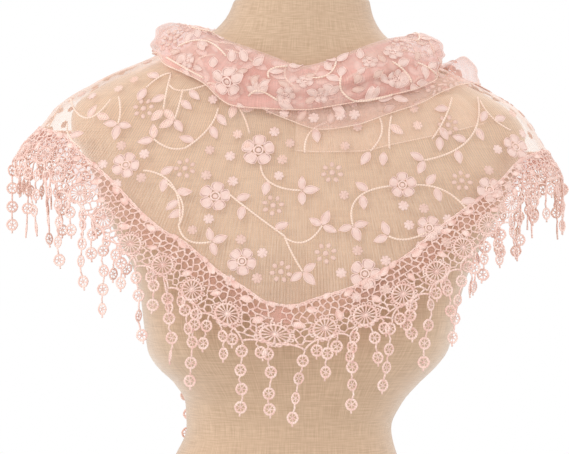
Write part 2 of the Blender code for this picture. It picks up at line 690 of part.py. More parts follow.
def nape_knot(collection, finish):
    """A soft knot, flattened where it lies on the net and the lace."""
    geometry = bmesh.new()
    bmesh.ops.create_uvsphere(geometry, u_segments=14, v_segments=8, radius=1.0)
    for vertex in geometry.verts:
        x = KNOT_RADII[0] * vertex.co.x
        spread = math.hypot(vertex.co.y, vertex.co.z)
        y = KNOT_REACH + KNOT_RADII[1] * vertex.co.y
        drop = KNOT_DROP
        if spread > 0.0:
            drop -= knot_half_height(x) * vertex.co.z / spread
        angle = 180.0 - math.degrees(math.atan2(x, y))
        angle = angle if angle <= 180.0 else angle - 360.0
        rest = float(cloth_reach(angle, drop)) + CLOTH_WALL / 2 + KNOT_CLEARANCE
        vertex.co = np.array([x, max(y, rest, KNOT_REST), NECK_TOP - drop]) * MM
    return add_object("nape_knot", finished_mesh("nape_knot", geometry), collection, finish)


def tail(side_name, collection, net, lace):
    """One hanging end with its lace and fringe."""
    hanging = Tail(**TAILS[side_name])
    repeats = Repeats(hanging.lengths[-1], False)
    shares = np.concatenate([[0.0, 0.025],
                             np.interp(repeats.columns, hanging.lengths, hanging.shares)])
    cloth_wall(
        f"tail_{side_name}", shares, np.linspace(0.0, 1.0, 7),
        hanging.on_net, CLOTH_WALL, collection, net,
    )
    lace_band(f"tail_border_{side_name}", hanging.on_band, repeats, collection, lace)
    first = float(np.interp(TAIL_FRINGE_FROM, hanging.shares, hanging.lengths))
    roots = [repeats.pitch * (number + 0.5) / 2 for number in range(2 * repeats.count)]
    roots = [root for root in roots if root > first]
    sizes = [SHORT_STRAND if number % 2 else LONG_STRAND for number in range(len(roots))]
    fringe(
        f"tail_fringe_{side_name}", edge_rail(hanging.on_band, repeats), roots, sizes,
        collection, lace, LAYER_SHIFTS,
    )


def main():
    clear_scene()
    shawl = bpy.data.collections.new("lace_shawl_on_dress_form")
    bpy.context.scene.collection.children.link(shawl)
    net = material("net", NET_COLOUR, 0.7)
    lace = material("lace", LACE_COLOUR, 0.8)
    linen = material("linen", LINEN_COLOUR, 0.9)

    dress_form(shawl, linen)
    band = HemBand()
    front_panel(band, shawl, net)
    under_layer(shawl, net)
    turn_of_cloth("cowl_front", COWL, np.linspace(-COWL_SPLIT, COWL_SPLIT, 29), shawl, net)
    gap = math.degrees(SEAM_GAP / 110.0)
    behind = dict(COWL)
    for key, values in COWL.items():
        if key == "angle":
            behind[key] = (*values[9:-1], *(value + 360 for value in values[:9]))
        elif isinstance(values, tuple):
            behind[key] = (*values[9:-1], *values[:9])
    turn_of_cloth(
        "cowl_back", behind, np.linspace(COWL_SPLIT + gap, 360 - COWL_SPLIT - gap, 18), shawl, net
    )
    turn_of_cloth("shoulder_turn", TURN, TURN_COLUMNS, shawl, net)
    for side, sign, roots_at_point in (("left", -1, [POINT_STRAND_AT]), ("right", 1, [])):
        place, length = band.side(sign)
        repeats = Repeats(length, True)
        lace_band(f"border_{side}", place, repeats, shawl, lace)
        band_fringe(f"fringe_{side}", place, repeats, roots_at_point, shawl, lace)
    nape_knot(shawl, net)
    tail("left", shawl, net, lace)
    tail("right", shawl, net, lace)


main()
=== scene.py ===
"""Lace shawl on a tabletop dress form: the pieces that show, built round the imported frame.

A triangle of embroidered net, edged with guipure lace and a fringe of medallions, is worn
point to the front. Its long edge is folded out into a cowl, and its ends are knotted at the
nape. Shapes are worked out in millimetres and become metres when a mesh is cast. A place on
the cloth is a direction round the neck's axis (degrees from the front, positive towards +X)
and a drop below the top of the neck.
"""

import logging
import math
from dataclasses import dataclass, field
from enum import Enum
from typing import Callable, Iterable, Sequence

import bpy
import numpy as np
from bpy.types import Material, Node, Object
from bpy.types import NodeSocket as Socket
from bpy.types import NodeTree as Tree
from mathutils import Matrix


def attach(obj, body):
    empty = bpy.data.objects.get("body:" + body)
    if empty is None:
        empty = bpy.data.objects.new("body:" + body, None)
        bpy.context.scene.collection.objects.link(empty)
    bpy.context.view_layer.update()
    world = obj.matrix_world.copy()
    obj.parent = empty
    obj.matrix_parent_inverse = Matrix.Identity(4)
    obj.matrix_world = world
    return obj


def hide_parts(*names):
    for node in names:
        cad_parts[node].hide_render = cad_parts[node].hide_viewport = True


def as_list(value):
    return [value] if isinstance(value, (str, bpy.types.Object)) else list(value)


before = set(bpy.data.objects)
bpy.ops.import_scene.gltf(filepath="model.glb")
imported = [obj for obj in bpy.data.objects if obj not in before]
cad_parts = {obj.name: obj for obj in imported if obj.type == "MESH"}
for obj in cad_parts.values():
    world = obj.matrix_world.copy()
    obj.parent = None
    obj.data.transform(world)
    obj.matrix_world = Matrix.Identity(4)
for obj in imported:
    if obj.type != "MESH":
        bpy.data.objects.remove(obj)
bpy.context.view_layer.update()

Array = np.ndarray
Colour = tuple[float, float, float, float]
Place = Callable[[Array, Array], Array]
Pair = tuple[float, float]
Row = tuple[float, ...]

LOG = logging.getLogger("lace_shawl")
MM = 0.001
STITCH_UV = "stitch"
NECK_TOP = 585.0
FORM_CLEARANCE = 4.5
UNDER_CLEARANCE = 2.0
SEAM_GAP = 0.5
BORDER_WIDTH = 42.0
REPEAT = 34.0
COWL_SPLIT = 96.0
NAPE_LIMIT = 178.7
APEX = -8.0
RIGHT_SHOULDER = (52.0, 78.0, 100.0)
KNOT_REACH = 122.0
PLY_TURN = 2.2


class Slot(Enum):
    """The record's material slots."""

    NET = "net"
    LACE = "lace"
    LINEN = "linen"


class Held(Enum):
    """How a stretch of cloth is held."""

    DRAPED = "draped"
    HUNG = "hung"
    FOLDED = "folded"
    LAID = "laid"


class Side(Enum):
    """The wearer's side as seen from the front."""

    LEFT = -1
    RIGHT = 1


class Stitch(Enum):
    """The kinds of thread in the embroidery."""

    SATIN = "satin"
    FAINT = "faint"
    STEM = "stem"


class Motif(Enum):
    """The embroidered motifs, each worked as one small relief."""

    FLOWER = "flower"
    LEAF = "leaf"
    BLOSSOM = "blossom"
    DOTS = "dots"


# ---- formulas
def smooth_through(stops: Sequence[float], values: Array, at: Array) -> Array:
    """Reads a smooth curve through a short table, with no overshoot.

    Args:
        stops: Where the rows stand.
        values: Their values on the last axis, one table or one for each place.
        at: Where to read.

    Returns:
        The values there.
    """
    xs, ys = np.asarray(stops, float), np.asarray(values, float)
    at = np.clip(at, xs[0], xs[-1])
    steps = np.diff(xs)
    slopes = np.diff(ys, axis=-1) / steps
    before, after = slopes[..., :-1], slopes[..., 1:]
    same_way = before * after > 0
    bends = np.empty_like(ys)
    bends[..., 0], bends[..., -1] = slopes[..., 0], slopes[..., -1]
    total = np.where(same_way, before + after, 1.0)
    bends[..., 1:-1] = np.where(same_way, 2.0 * before * after / total, 0.0)
    row = np.clip(np.searchsorted(xs, at, side="right") - 1, 0, len(xs) - 2)
    t = (at - xs[row]) / steps[row]

    def read(table: Array, shift: int) -> Array:
        """Takes the table's entry for each place."""
        if table.ndim == 1:
            return table[row + shift]
        return np.take_along_axis(table, (row + shift)[..., None], axis=-1)[..., 0]

    return (read(ys, 0) * (1 + 2 * t) * (1 - t) ** 2 + read(ys,
        1) * t * t * (3 - 2 * t) + steps[row] * t * (1 - t) * (
        read(bends, 0) * (1 - t) - read(bends, 1) * t))


def smooth_step(low: float, high: float, value: Array) -> Array:
    """Rises from 0 at low to 1 at high."""
    t = np.clip((value - low) / (high - low), 0, 1)
    return t * t * (3 - 2 * t)


def unit(vectors: Array) -> Array:
    """Vectors of length one."""
    return vectors / np.maximum(np.linalg.norm(vectors, axis=-1, keepdims=True), 1e-9)


def arc_lengths(points: Array) -> Array:
    """Distance along a line of points."""
    return np.insert(np.cumsum(np.linalg.norm(np.diff(points, axis=0), axis=1)), 0, 0.0)


def running_mean(values: Array, reach: int = 36) -> Array:
    """Evened values, for corners without a pinch."""
    padded = np.pad(values, reach, mode="edge")
    return np.convolve(padded, np.ones(2 * reach + 1) / (2 * reach + 1), mode="valid")


def stacked(*parts: Array | float) -> Array:
    """Places from coordinates that are spread over one another."""
    return np.stack(np.broadcast_arrays(*parts), axis=-1)


def round_at(radius: Array | float, turn: Array, lift: Array | float = 0.0) -> Array:
    """Places at a radius and a turn in radians."""
    return stacked(radius * np.cos(turn), radius * np.sin(turn), lift)


def crossed(*stations: Array) -> list[Array]:
    """Each station's value over the whole grid of them."""
    return np.meshgrid(*stations, indexing="ij")


def whole_turn(count: int) -> Array:
    """Even steps of a whole turn, in radians."""
    return math.tau * np.arange(count) / count


def point_at(reach: Array, angle: Array, drop: Array) -> Array:
    """A place in the frame, in mm."""
    turn = np.radians(angle)
    return stacked(reach * np.sin(turn), -reach * np.cos(turn), NECK_TOP - drop)


@dataclass(frozen=True)
class Curve:
    """A smooth curve through a short table."""

    stops: Row
    values: Row

    def __call__(self, at: Array) -> Array:
        """Reads the curve."""
        return smooth_through(self.stops, self.values, at)


@dataclass(frozen=True)
class Outline:
    """Superellipses round the neck's axis, each with four reaches."""

    drop: Row
    left: Row
    right: Row
    front: Row
    back: Row
    square: Row

    def reach(self, angle: Array, drop: Array) -> Array:
        """Distance from the neck's axis to the outline."""
        across, ahead = np.sin(np.radians(angle)), np.cos(np.radians(angle))
        left, right, front, back, square = (smooth_through(self.drop, column, drop)
            for column in (self.left, self.right, self.front, self.back, self.square))
        half_width = np.where(across < 0, left, right)
        half_depth = np.where(ahead > 0, front, back)
        total = (np.abs(across) / half_width) ** square + (np.abs(ahead) / half_depth) ** square
        return total ** (-1.0 / square)


FORM = Outline(
    drop=(0, 14, 28, 40, 50, 60, 72, 84, 96, 110, 125, 143, 165, 190, 220, 250, 275,
          292, 308, 322, 336, 352, 370, 393, 420, 455, 500, 545, 585),
    left=(62, 68, 80, 99, 119, 141, 170, 192, 207, 212, 211, 200, 190, 182, 168, 153,
          147, 145, 143, 141, 133, 117, 107, 106, 117, 134, 147, 152, 153),
    right=(62, 65, 72, 84, 97, 112, 137, 161, 182, 198, 205, 202, 194, 184, 168, 152,
           144, 140, 137, 133, 123, 107, 92, 82, 88, 106, 124, 131, 132),
    front=(56, 58, 60, 62, 64, 67, 70, 74, 78, 82, 87, 94, 103, 112, 124, 135, 141,
           142, 138, 129, 117, 105, 96, 90, 92, 98, 106, 109, 108),
    back=(58, 62, 66, 71, 76, 81, 87, 92, 97, 101, 105, 107, 107, 106, 103, 100, 97,
          95, 92, 89, 86, 82, 79, 77, 83, 97, 112, 118, 117),
    square=(2, 2, 2, 2, 2.1, 2.1, 2.2, 2.3, 2.4, 2.5, 2.6, 2.7, 2.8, 2.9, 3,
            3, 3, 3, 2.9, 2.8, 2.7, 2.5, 2.3, 2.2, 2.2, 2.3, 2.4, 2.4, 2.4),
)
HANGING = Outline(
    drop=(40, 60, 72, 84, 100, 116, 130, 145, 160, 180, 210, 250, 285, 300, 350),
    left=(103, 145, 174, 203, 226, 238, 250, 259, 265, 269, 271, 272, 272, 272, 272),
    right=(90, 118, 143, 170, 197, 211, 219, 229, 237, 242, 246, 248, 248, 248, 248),
    front=(66, 71, 74, 78, 83, 88, 93, 99, 105, 113, 125, 139, 146, 147, 148),
    back=(76, 86, 92, 97, 103, 108, 111, 112, 112, 112, 112, 112, 112, 112, 112),
    square=(2.1, 2.1, 2.2, 2.3, 2.4, 2.4, 2.4, 2.4, 2.5, 2.6, 2.8, 3, 3, 3, 3),
)
HEM = Curve(
    (-176, -155, -135, -115, -100, -90, -84, -76, -69, -62.5, -56, -50.5, -45, -39,
     -35, -27.5, -19, -11.5, -4, 4, 12.5, 19, 28, 36, 42, 50, 58.5, 64.5, 70, 75,
     82, 100, 120, 140, 157, 176),
    (83, 93, 105, 116, 119, 118, 119, 125, 145, 163, 183, 199, 212, 222, 231, 248,
     262, 274, 276.5, 270.5, 264, 258, 244, 230, 216, 199, 181, 166, 152, 144, 139,
     139, 129, 112, 97, 83),
)
TUCK = Curve((44, 62, 86, 108), (1, 0.8, 0.8, 1))
NET_TOP = Curve((-176, -135, -90, -45, 0, 45, 90, 135, 176),
                (52, 52, 50, 70, 88, 74, 56, 53, 52))


def form_reach(angle: Array, drop: Array) -> Array:
    """The form's surface, with the hollow of its bust."""
    depth, width, middle, height = 27.0, 40.0, 283.0, 52.0
    reach = FORM.reach(angle, drop)
    turn = np.radians(angle)
    sideways = reach * np.sin(turn)
    hollow = depth * np.exp(-((sideways / width) ** 2) - ((drop - middle) / height) ** 2)
    return reach - hollow * np.clip(np.cos(turn), 0, 1)


def cloth_reach(angle: Array, drop: Array) -> Array:
    """The cloth's middle, on the form or hanging clear of it."""
    flute_length, flute_depth, mean_reach = 74.0, 5.0, 230.0
    on_form = FORM.reach(angle, np.asarray(drop) + 3.0) + FORM_CLEARANCE
    aside = np.abs(angle)
    beyond = smooth_step(45.0, 80.0, aside) * (1.0 - smooth_step(125.0, 155.0, aside))
    near_edge = smooth_step(-25.0, BORDER_WIDTH, drop - HEM(angle))
    wave = 0.5 + 0.5 * np.sin(np.radians(angle) * mean_reach * math.tau / flute_length)
    return np.maximum(HANGING.reach(angle, drop), on_form) + flute_depth * beyond * near_edge * wave


def on_cloth(angle: Array, drop: Array) -> Array:
    """A place on the net or lace that covers the form."""
    return point_at(cloth_reach(angle, drop), angle, drop)


# ---- sheets
class Sheet:
    """A stretch of cloth that flat shapes are laid onto."""

    def __init__(self, place: Place, u: Array, v: Array) -> None:
        """Reads the cloth.

        Args:
            place: Gives the cloth's middle for two flat coordinates.
            u: Stations of the first.
            v: Stations of the second.
        """
        self.u, self.v = np.asarray(u, float), np.asarray(v, float)
        self.points = place(*self.grid())
        self.by_u = np.gradient(self.points, self.u, axis=0)
        self.by_v = np.gradient(self.points, self.v, axis=1)
        normal = unit(np.cross(self.by_u, self.by_v))
        middle = (len(self.u) // 2, 2 * len(self.v) // 3)
        away = self.points[middle] * (1.0, 1.0, 0.0)
        self.handed = 1.0 if np.dot(normal[middle], away) > 0 else -1.0
        self.normals = normal * self.handed

    def grid(self) -> tuple[Array, Array]:
        """Both flat coordinates of each station."""
        return crossed(self.u, self.v)

    def read(self, table: Array, u: Array, v: Array) -> Array:
        """Reads a table of the grid between its stations."""
        fu = np.interp(u, self.u, np.arange(len(self.u)))
        fv = np.interp(v, self.v, np.arange(len(self.v)))
        i = np.clip(fu.astype(int), 0, len(self.u) - 2)
        j = np.clip(fv.astype(int), 0, len(self.v) - 2)
        a, b = (fu - i)[..., None], (fv - j)[..., None]
        near = table[i, j] * (1 - a) + table[i + 1, j] * a
        far = table[i, j + 1] * (1 - a) + table[i + 1, j + 1] * a
        return near * (1 - b) + far * b

    def lay(self, flat: Array) -> Array:
        """Moves flat places (u, v, lift in mm) onto the cloth."""
        u, v, lift = flat[..., 0], flat[..., 1], flat[..., 2]
        return self.read(self.points, u, v) + self.read(self.normals, u, v) * lift[..., None]

    def at(self, u: float, v: float, lift: float = 0.0) -> Array:
        """One place on the cloth."""
        return self.lay(np.array([u, v, lift]))

    def axes(self, u: Array, v: Array) -> tuple[Array, Array, Array, Array]:
        """The two flat directions at a place.

        Returns:
            The unit vectors along u and square to it, and how far a step of u, and a step
            of v along each of them, goes.
        """
        by_u, by_v = self.read(self.by_u, u, v), self.read(self.by_v, u, v)
        length = np.linalg.norm(by_u, axis=-1)
        first = by_u / length[..., None]
        slant = np.sum(by_v * first, axis=-1)
        rest = by_v - slant[..., None] * first
        square = np.linalg.norm(rest, axis=-1)
        return first, rest / square[..., None], length, stacked(slant, square)

    def lay_copies(self, shape: Array, anchors: Array) -> Array:
        """Lays copies of one flat shape.

        Args:
            shape: Its points: x, y and lift.
            anchors: Each copy's u, v, heading in degrees and scale.

        Returns:
            Each copy's points.
        """
        u, v, heading, scale = (anchors[:, column] for column in range(4))
        _, _, length, step = self.axes(u, v)
        turn = np.radians(heading)
        c, s = (np.cos(turn) * scale)[:, None], (np.sin(turn) * scale)[:, None]
        x, y = c * shape[:, 0] - s * shape[:, 1], s * shape[:, 0] + c * shape[:, 1]
        dv = y / step[:, 1:]
        du = (x - dv * step[:, :1]) / length[:, None]
        return self.lay(stacked(u[:, None] + du, v[:, None] + dv, shape[:, 2]))

    def seen_at(self, x: Array, drop: Array) -> Array:
        """Flat places that show at places across and below the neck's top."""
        goal = stacked(x, NECK_TOP - np.asarray(drop, float))
        coarse = self.points[::3, ::3].reshape(-1, 3)
        hidden = np.where(self.normals[::3, ::3, 1].ravel() < -0.1, 0.0, 1e6)
        gaps = ((coarse[None, :, ::2] - goal[:, None]) ** 2).sum(axis=-1) + hidden
        i, j = np.divmod(gaps.argmin(axis=1), len(self.v[::3]))
        u, v = self.u[::3][i], self.v[::3][j]
        for _ in range(4):
            to_x, to_z = (goal - self.read(self.points, u, v)[:, ::2]).T
            ux, uz = self.read(self.by_u, u, v)[:, ::2].T
            vx, vz = self.read(self.by_v, u, v)[:, ::2].T
            share = 0.9 / (ux * vz - uz * vx)
            u, v = u + share * (to_x * vz - to_z * vx), v + share * (to_z * ux - to_x * uz)
        return stacked(u, v)

    def stride(self, u: float, v: float, heading: float, distance: float) -> Pair:
        """Where a step in a heading leads, in flat coordinates."""
        _, _, length, step = self.axes(np.array(u), np.array(v))
        turn = math.radians(heading)
        dv = distance * math.sin(turn) / step[1]
        return u + float((distance * math.cos(turn) - dv * step[0]) / length), v + float(dv)

    def heading(self, start: Sequence[float], end: Sequence[float]) -> float:
        """The heading from one flat place to a near one."""
        first, square, _, _ = self.axes(np.array(start[0]), np.array(start[1]))
        way = self.at(*end) - self.at(*start)
        return math.degrees(math.atan2(float(way @ square), float(way @ first)))


class HemBand:
    """The lace band, in two sides that start from the triangle's point."""

    def __init__(self) -> None:
        """Reads the seam and the steps that lead out from it."""
        angles = np.linspace(HEM.stops[0], HEM.stops[-1], 1400)
        drops = HEM(angles)
        seam = on_cloth(angles, drops)
        self.angles, self.drops, self.lengths = angles, drops, arc_lengths(seam)
        self.point = float(np.interp(APEX, angles, self.lengths))
        tangent, small = np.gradient(seam, axis=0), 0.05
        by_angle = (on_cloth(angles + small, drops) - on_cloth(angles - small, drops)) / (2 * small)
        by_drop = (on_cloth(angles, drops + small) - on_cloth(angles, drops - small)) / (2 * small)
        outward = np.cross(tangent, np.cross(by_drop, by_angle))
        outward = unit(outward * np.sign(np.sum(outward * by_drop, axis=1))[:, None])
        aa, ad, dd = (np.sum(a * b, axis=1) for a, b in ((by_angle, by_angle), (by_angle, by_drop),
            (by_drop, by_drop)))
        ao, do = np.sum(by_angle * outward, axis=1), np.sum(by_drop * outward, axis=1)
        determinant = aa * dd - ad * ad
        self.angle_steps = running_mean((ao * dd - do * ad) / determinant)
        self.drop_steps = running_mean((do * aa - ao * ad) / determinant)

    def length(self, side: Side) -> float:
        """Length of one side's seam."""
        return self.lengths[-1] - self.point if side is Side.RIGHT else self.point

    def place(self, side: Side) -> Place:
        """Places on one side, by distance along its seam and out."""

        def on_band(along: Array, out: Array) -> Array:
            """A place on the lace."""
            station = self.point + side.value * along
            angle = np.interp(station, self.lengths, self.angles)
            drop = np.interp(station, self.lengths, self.drops)
            on_lace = np.minimum(out, BORDER_WIDTH)
            out = on_lace * TUCK(angle) + (out - on_lace)
            angle = angle + out * np.interp(station, self.lengths, self.angle_steps)
            drop = drop + out * np.interp(station, self.lengths, self.drop_steps)
            return on_cloth(np.clip(angle, -NAPE_LIMIT, NAPE_LIMIT), drop)

        return on_band


@dataclass(frozen=True)
class Crease:
    """A soft ridge, or a trough with a negative height."""

    angles: Pair
    shares: Pair
    height: float
    width: float = 0.075

    def lift(self, angle: Array, share: Array) -> Array:
        """How far it moves the cloth outward."""
        t = np.clip((angle - self.angles[0]) / (self.angles[1] - self.angles[0]), 0, 1)
        middle = self.shares[0] + (self.shares[1] - self.shares[0]) * t
        ends = smooth_step(0.0, 0.25, t) * (1.0 - smooth_step(0.75, 1.0, t))
        return self.height * ends * np.exp(-(((share - middle) / self.width) ** 2))


@dataclass(frozen=True)
class Turn:
    """A turn of cloth, by its inner edge, crest, bulge and lower edge."""

    angle: Row
    reach: tuple[Row, ...]
    lift: tuple[Row, ...]
    drop: tuple[Row, ...]
    folds: float
    fold_depth: float
    creases: tuple[Crease, ...] = ()

    def place(self, angle: Array, share: Array, inward: float = 0.0) -> Array:
        """Places on the turn.

        Args:
            angle: Direction round the neck.
            share: 0 at the inner edge and 1 at the lower edge.
            inward: How far inside it a second layer lies.

        Returns:
            The places.
        """
        angle, share = np.broadcast_arrays(np.asarray(angle, float), np.asarray(share, float))
        drops = [smooth_through(self.angle, column, angle) for column in self.drop]
        reaches = [smooth_through(self.angle, column, angle) for column in self.reach]
        for column, drop in zip(self.lift, drops[len(self.reach):]):
            reaches.append(cloth_reach(angle, drop) + smooth_through(self.angle, column, angle))
        stops = (0.0, 0.3, 0.66, 1.0)
        reach = smooth_through(stops, np.stack(reaches, axis=-1), share)
        drop = smooth_through(stops, np.stack(drops, axis=-1), share)
        outer = smooth_step(0.3, 0.5, share) * (1.0 - smooth_step(0.84, 1.0, share))
        phase = share * self.folds + angle / 210.0
        reach = reach + self.fold_depth * outer * (0.5 + 0.5 * np.cos(math.tau * phase))
        room = smooth_step(0.0, 0.3, share) * (1.0 - smooth_step(0.85, 1.0, share))
        reach = reach + room * sum(crease.lift(angle, share) for crease in self.creases)
        reach = reach - inward * smooth_step(0.22, 0.45, share)
        drop = drop + inward * (1.0 - smooth_step(0.3, 0.7, share)) * smooth_step(0.0, 0.2, share)
        return point_at(reach, angle, drop)

    def behind(self) -> "Turn":
        """The turn with its table started in front, for its back."""
        half = len(self.angle) // 2
        angles = (*self.angle[half:-1], *(a + 360.0 for a in self.angle[:half]))
        tables = (tuple((*column[half:-1], *column[:half]) for column in table)
                  for table in (self.reach, self.lift, self.drop))
        return Turn(angles, *tables, self.folds, self.fold_depth, self.creases)


COWL = Turn(
    angle=(-180, -135, -100, -82, -65, -50, -35, -20, 0, 20, 35, 50, 62, 70, 80, 100, 135, 180),
    reach=(
        (79, 87, 96, 98, 93, 84, 79, 76, 73.6, 76, 80, 86, 90, 93, 94, 93, 85, 79),
        (88, 98, 116, 122, 102, 91, 84, 80, 77.5, 80, 85, 92, 98, 104, 110, 106, 95, 88),
        (104, 119, 134, 136, 126, 116, 108, 98, 95, 99, 107, 117, 125, 127, 130, 128, 114, 104),
    ),
    lift=((8, 7, 6, 6, 6, 6, 6, 6.5, 6.5, 7, 7, 7, 7, 3.6, 4.5, 7, 7, 8),),
    drop=(
        (40, 36, 32, 32, 37, 45, 53, 60, 70, 65, 57, 50, 44, 42, 40, 38, 38, 40),
        (27, 24, 21, 22, 29, 40, 48, 56, 65, 58.5, 49.5, 41.5, 37, 35, 31.5, 31, 32, 27),
        (44, 41, 38, 38, 48, 62, 77, 84, 87, 82, 75, 66, 58, 53, 48, 46, 43, 44),
        (61, 58, 50.5, 50.5, 65, 80, 102, 104.5, 105.5, 101, 96, 89, 79, 69, 60, 56, 56, 61),
    ),
    folds=3.2,
    fold_depth=3.4,
    creases=(
        Crease((-96, 20), (0.42, 0.72), 1.6, 0.09),
        Crease((-70, 60), (0.52, 0.4), -1.4),
        Crease((-45, 96), (0.8, 0.55), 1.2),
        Crease((-90, -10), (0.6, 0.88), -1.0),
        Crease((5, 92), (0.62, 0.78), 1.1),
        Crease((-30, 40), (0.35, 0.46), 1.0, 0.06),
        Crease((100, 215), (0.45, 0.7), 1.5, 0.09),
        Crease((130, 262), (0.72, 0.48), -1.1),
        Crease((110, 250), (0.6, 0.84), 1.0),
    ),
)
SHOULDER_TURN = Turn(
    angle=(-24, -8, 10, 27, 42, 54, 62, 66, 71, 76, 88, 100, 120, 145, 172),
    reach=(),
    lift=(
        (3, 3, 3, 3, 3, 3, 3, 3, 3.5, 4, 5, 5, 5, 5, 4),
        (3, 3.4, 3.6, 3.6, 3.6, 3.5, 3.6, 4.4, 11, 19, 40, 39, 28, 15, 8),
        (3, 4, 5, 5, 5, 5, 5, 6, 9, 14, 25, 24, 18, 13, 8),
        (3, 3, 3, 3, 3, 3, 3, 3, 3, 3, 3, 3, 3.5, 4, 4),
    ),
    drop=(
        (95, 95, 94, 90, 85, 81, 77, 75.5, 72, 68, 62, 62, 65, 70, 72),
        (98, 100, 101, 98, 92, 86, 80.5, 78, 69.5, 62.5, 52, 53, 58, 66, 72),
        (100, 107, 112, 109, 101, 93, 84.5, 80.5, 74.5, 71, 66, 67, 70, 75, 78),
        (103, 114, 123, 119, 108.5, 98.5, 88.5, 85, 81, 79.5, 78.5, 80, 82, 83, 84),
    ),
    folds=2.6,
    fold_depth=1.6,
    creases=(
        Crease((-15, 60), (0.72, 0.55), 0.6, 0.105),
        Crease((74, 170), (0.5, 0.66), 1.0, 0.105),
        Crease((80, 165), (0.76, 0.6), -0.7),
    ),
)


@dataclass(frozen=True)
class TailShape:
    """A pleated end of net with lace along its outer edge."""

    side: Side
    start_x: float
    end_x: float
    length: float
    top: float = 112.0
    pleats: float = 2.0
    pleat_depth: float = 3.5
    lace_from: float = 0.05
    widths: Curve = Curve((0.0, 0.12, 0.35, 0.65, 1.0), (20, 42, 60, 38, 6))
    lace_widths: Curve = Curve((0.0, 0.1, 0.3, 1.0), (0.3, 0.4, 1.0, 1.0))

    def plain_x(self, share: Array) -> Array:
        """The plain edge."""
        return self.start_x + (self.end_x - self.start_x) * smooth_step(-0.3, 1.1, share)

    def seam(self) -> tuple[Array, Array, Array, Array]:
        """The seam's shares, lengths, places and ways out."""
        shares = np.linspace(self.lace_from, 1.0, 300)
        x = self.plain_x(shares) + self.side.value * self.widths(shares)
        edge = stacked(x, self.top + self.length * shares)
        tangent = np.gradient(edge, axis=0)
        normal = stacked(-tangent[:, 1], tangent[:, 0])
        normal *= np.sign(normal[:, 0] * self.side.value)[:, None]
        return shares, arc_lengths(edge), edge, unit(normal)

    def on_net(self, share: Array, across: Array) -> Array:
        """A place on the net, across from its plain edge."""
        x = self.plain_x(share) + self.side.value * self.widths(share) * across
        fan = np.minimum(share / 0.25, 1.0) * (1.0 - smooth_step(0.7, 1.0, across))
        pleat = np.cos(math.tau * self.pleats * across)
        knot = KnotShape()
        under_knot = knot.middle_drop + knot.half_height(x) + SEAM_GAP
        rise = (under_knot - self.top) * np.maximum(0.0, 1.0 - share / self.lace_from)
        drop = self.top + self.length * share + rise
        return stacked(x, KNOT_REACH + self.pleat_depth * fan * pleat, NECK_TOP - drop)

    def on_band(self, along: Array, out: Array) -> Array:
        """A place on the lace, along its seam and out."""
        shares, lengths, edge, normal = self.seam()
        gathered = self.lace_widths(np.interp(along, lengths, shares))
        on_lace = np.minimum(out, BORDER_WIDTH) - SEAM_GAP
        out = SEAM_GAP + on_lace * gathered + np.maximum(out - BORDER_WIDTH, 0.0)
        x, drop = (np.interp(along, lengths, edge[:, k]) + out * np.interp(along, lengths, normal[:, k])
                   for k in (0, 1))
        return stacked(x, KNOT_REACH, NECK_TOP - drop)


@dataclass(frozen=True)
class KnotShape:
    """The soft knot at the nape, in mm."""

    middle_drop: float = 88.0
    radii: tuple[float, float, float] = (33.0, 15.0, 22.0)
    rest: float = 113.0
    clearance: float = 2.0

    def half_height(self, x: Array) -> Array:
        """Half its height, narrower at its waist."""
        waist = 1.0 - 0.18 * np.exp(-((x / 9.0) ** 2))
        span = np.maximum(0.0, 1.0 - (x / self.radii[0]) ** 2)
        return self.radii[2] * waist * np.sqrt(span)


# ---- reliefs
@dataclass
class Relief:
    """Points, faces (a triangle's fourth corner is -1) and a stitch place a corner."""

    points: Array
    faces: Array
    stitch: Array

    def moved(self, points: Array, mirrored: bool = False) -> "Relief":
        """The faces over new points, turned over where they are mirrored."""
        if not mirrored:
            return Relief(points, self.faces, self.stitch)
        order = np.where((self.faces[:, 3] < 0)[:, None], [2, 1, 0, 3], [3, 2, 1, 0])
        rows = np.arange(len(self.faces))[:, None]
        return Relief(points, self.faces[rows, order], self.stitch[rows, order])

    def volume(self) -> float:
        """Volume inside a closed relief; negative where it faces inward."""
        p = self.points[self.faces]
        first, second = (np.einsum("nk,nk->n", p[:, 0], np.cross(p[:, k], p[:, k + 1])) for k in (1, 2))
        return float((first + np.where(self.faces[:, 3] < 0, 0.0, second)).sum() / 6)

    def copies(self, points: Array, mirrored: bool = False) -> "Relief":
        """Many copies as one relief."""
        count, each = points.shape[:2]
        one = self.moved(self.points, mirrored)
        shift = (np.arange(count) * each)[:, None, None]
        faces = np.where(one.faces[None] < 0, -1, one.faces[None] + shift)
        return Relief(points.reshape(-1, 3), faces.reshape(-1, 4), np.tile(one.stitch, (count, 1, 1)))


def joined(parts: Iterable[Relief]) -> Relief:
    """Several reliefs as one."""
    parts = list(parts)
    sizes = np.cumsum([0, *(len(part.points) for part in parts)])
    faces = [np.where(p.faces < 0, -1, p.faces + s) for p, s in zip(parts, sizes)]
    return Relief(np.concatenate([p.points for p in parts]), np.concatenate(faces),
        np.concatenate([p.stitch for p in parts]))


def grid_faces(rows: int, columns: int, wrap: bool = False) -> tuple[Array, Array]:
    """Faces of a grid of points.

    Args:
        rows: Rows of points.
        columns: Points in a row.
        wrap: Whether each row closes on itself.

    Returns:
        The faces, and the row and column of their corners.
    """
    i, j = crossed(np.arange(rows - 1), np.arange(columns if wrap else columns - 1))
    i, j = i.ravel()[:, None], j.ravel()[:, None]
    corner_i, corner_j = i + np.array([0, 0, 1, 1]), j + np.array([0, 1, 1, 0])
    return corner_i * columns + corner_j % columns, stacked(corner_i, corner_j)


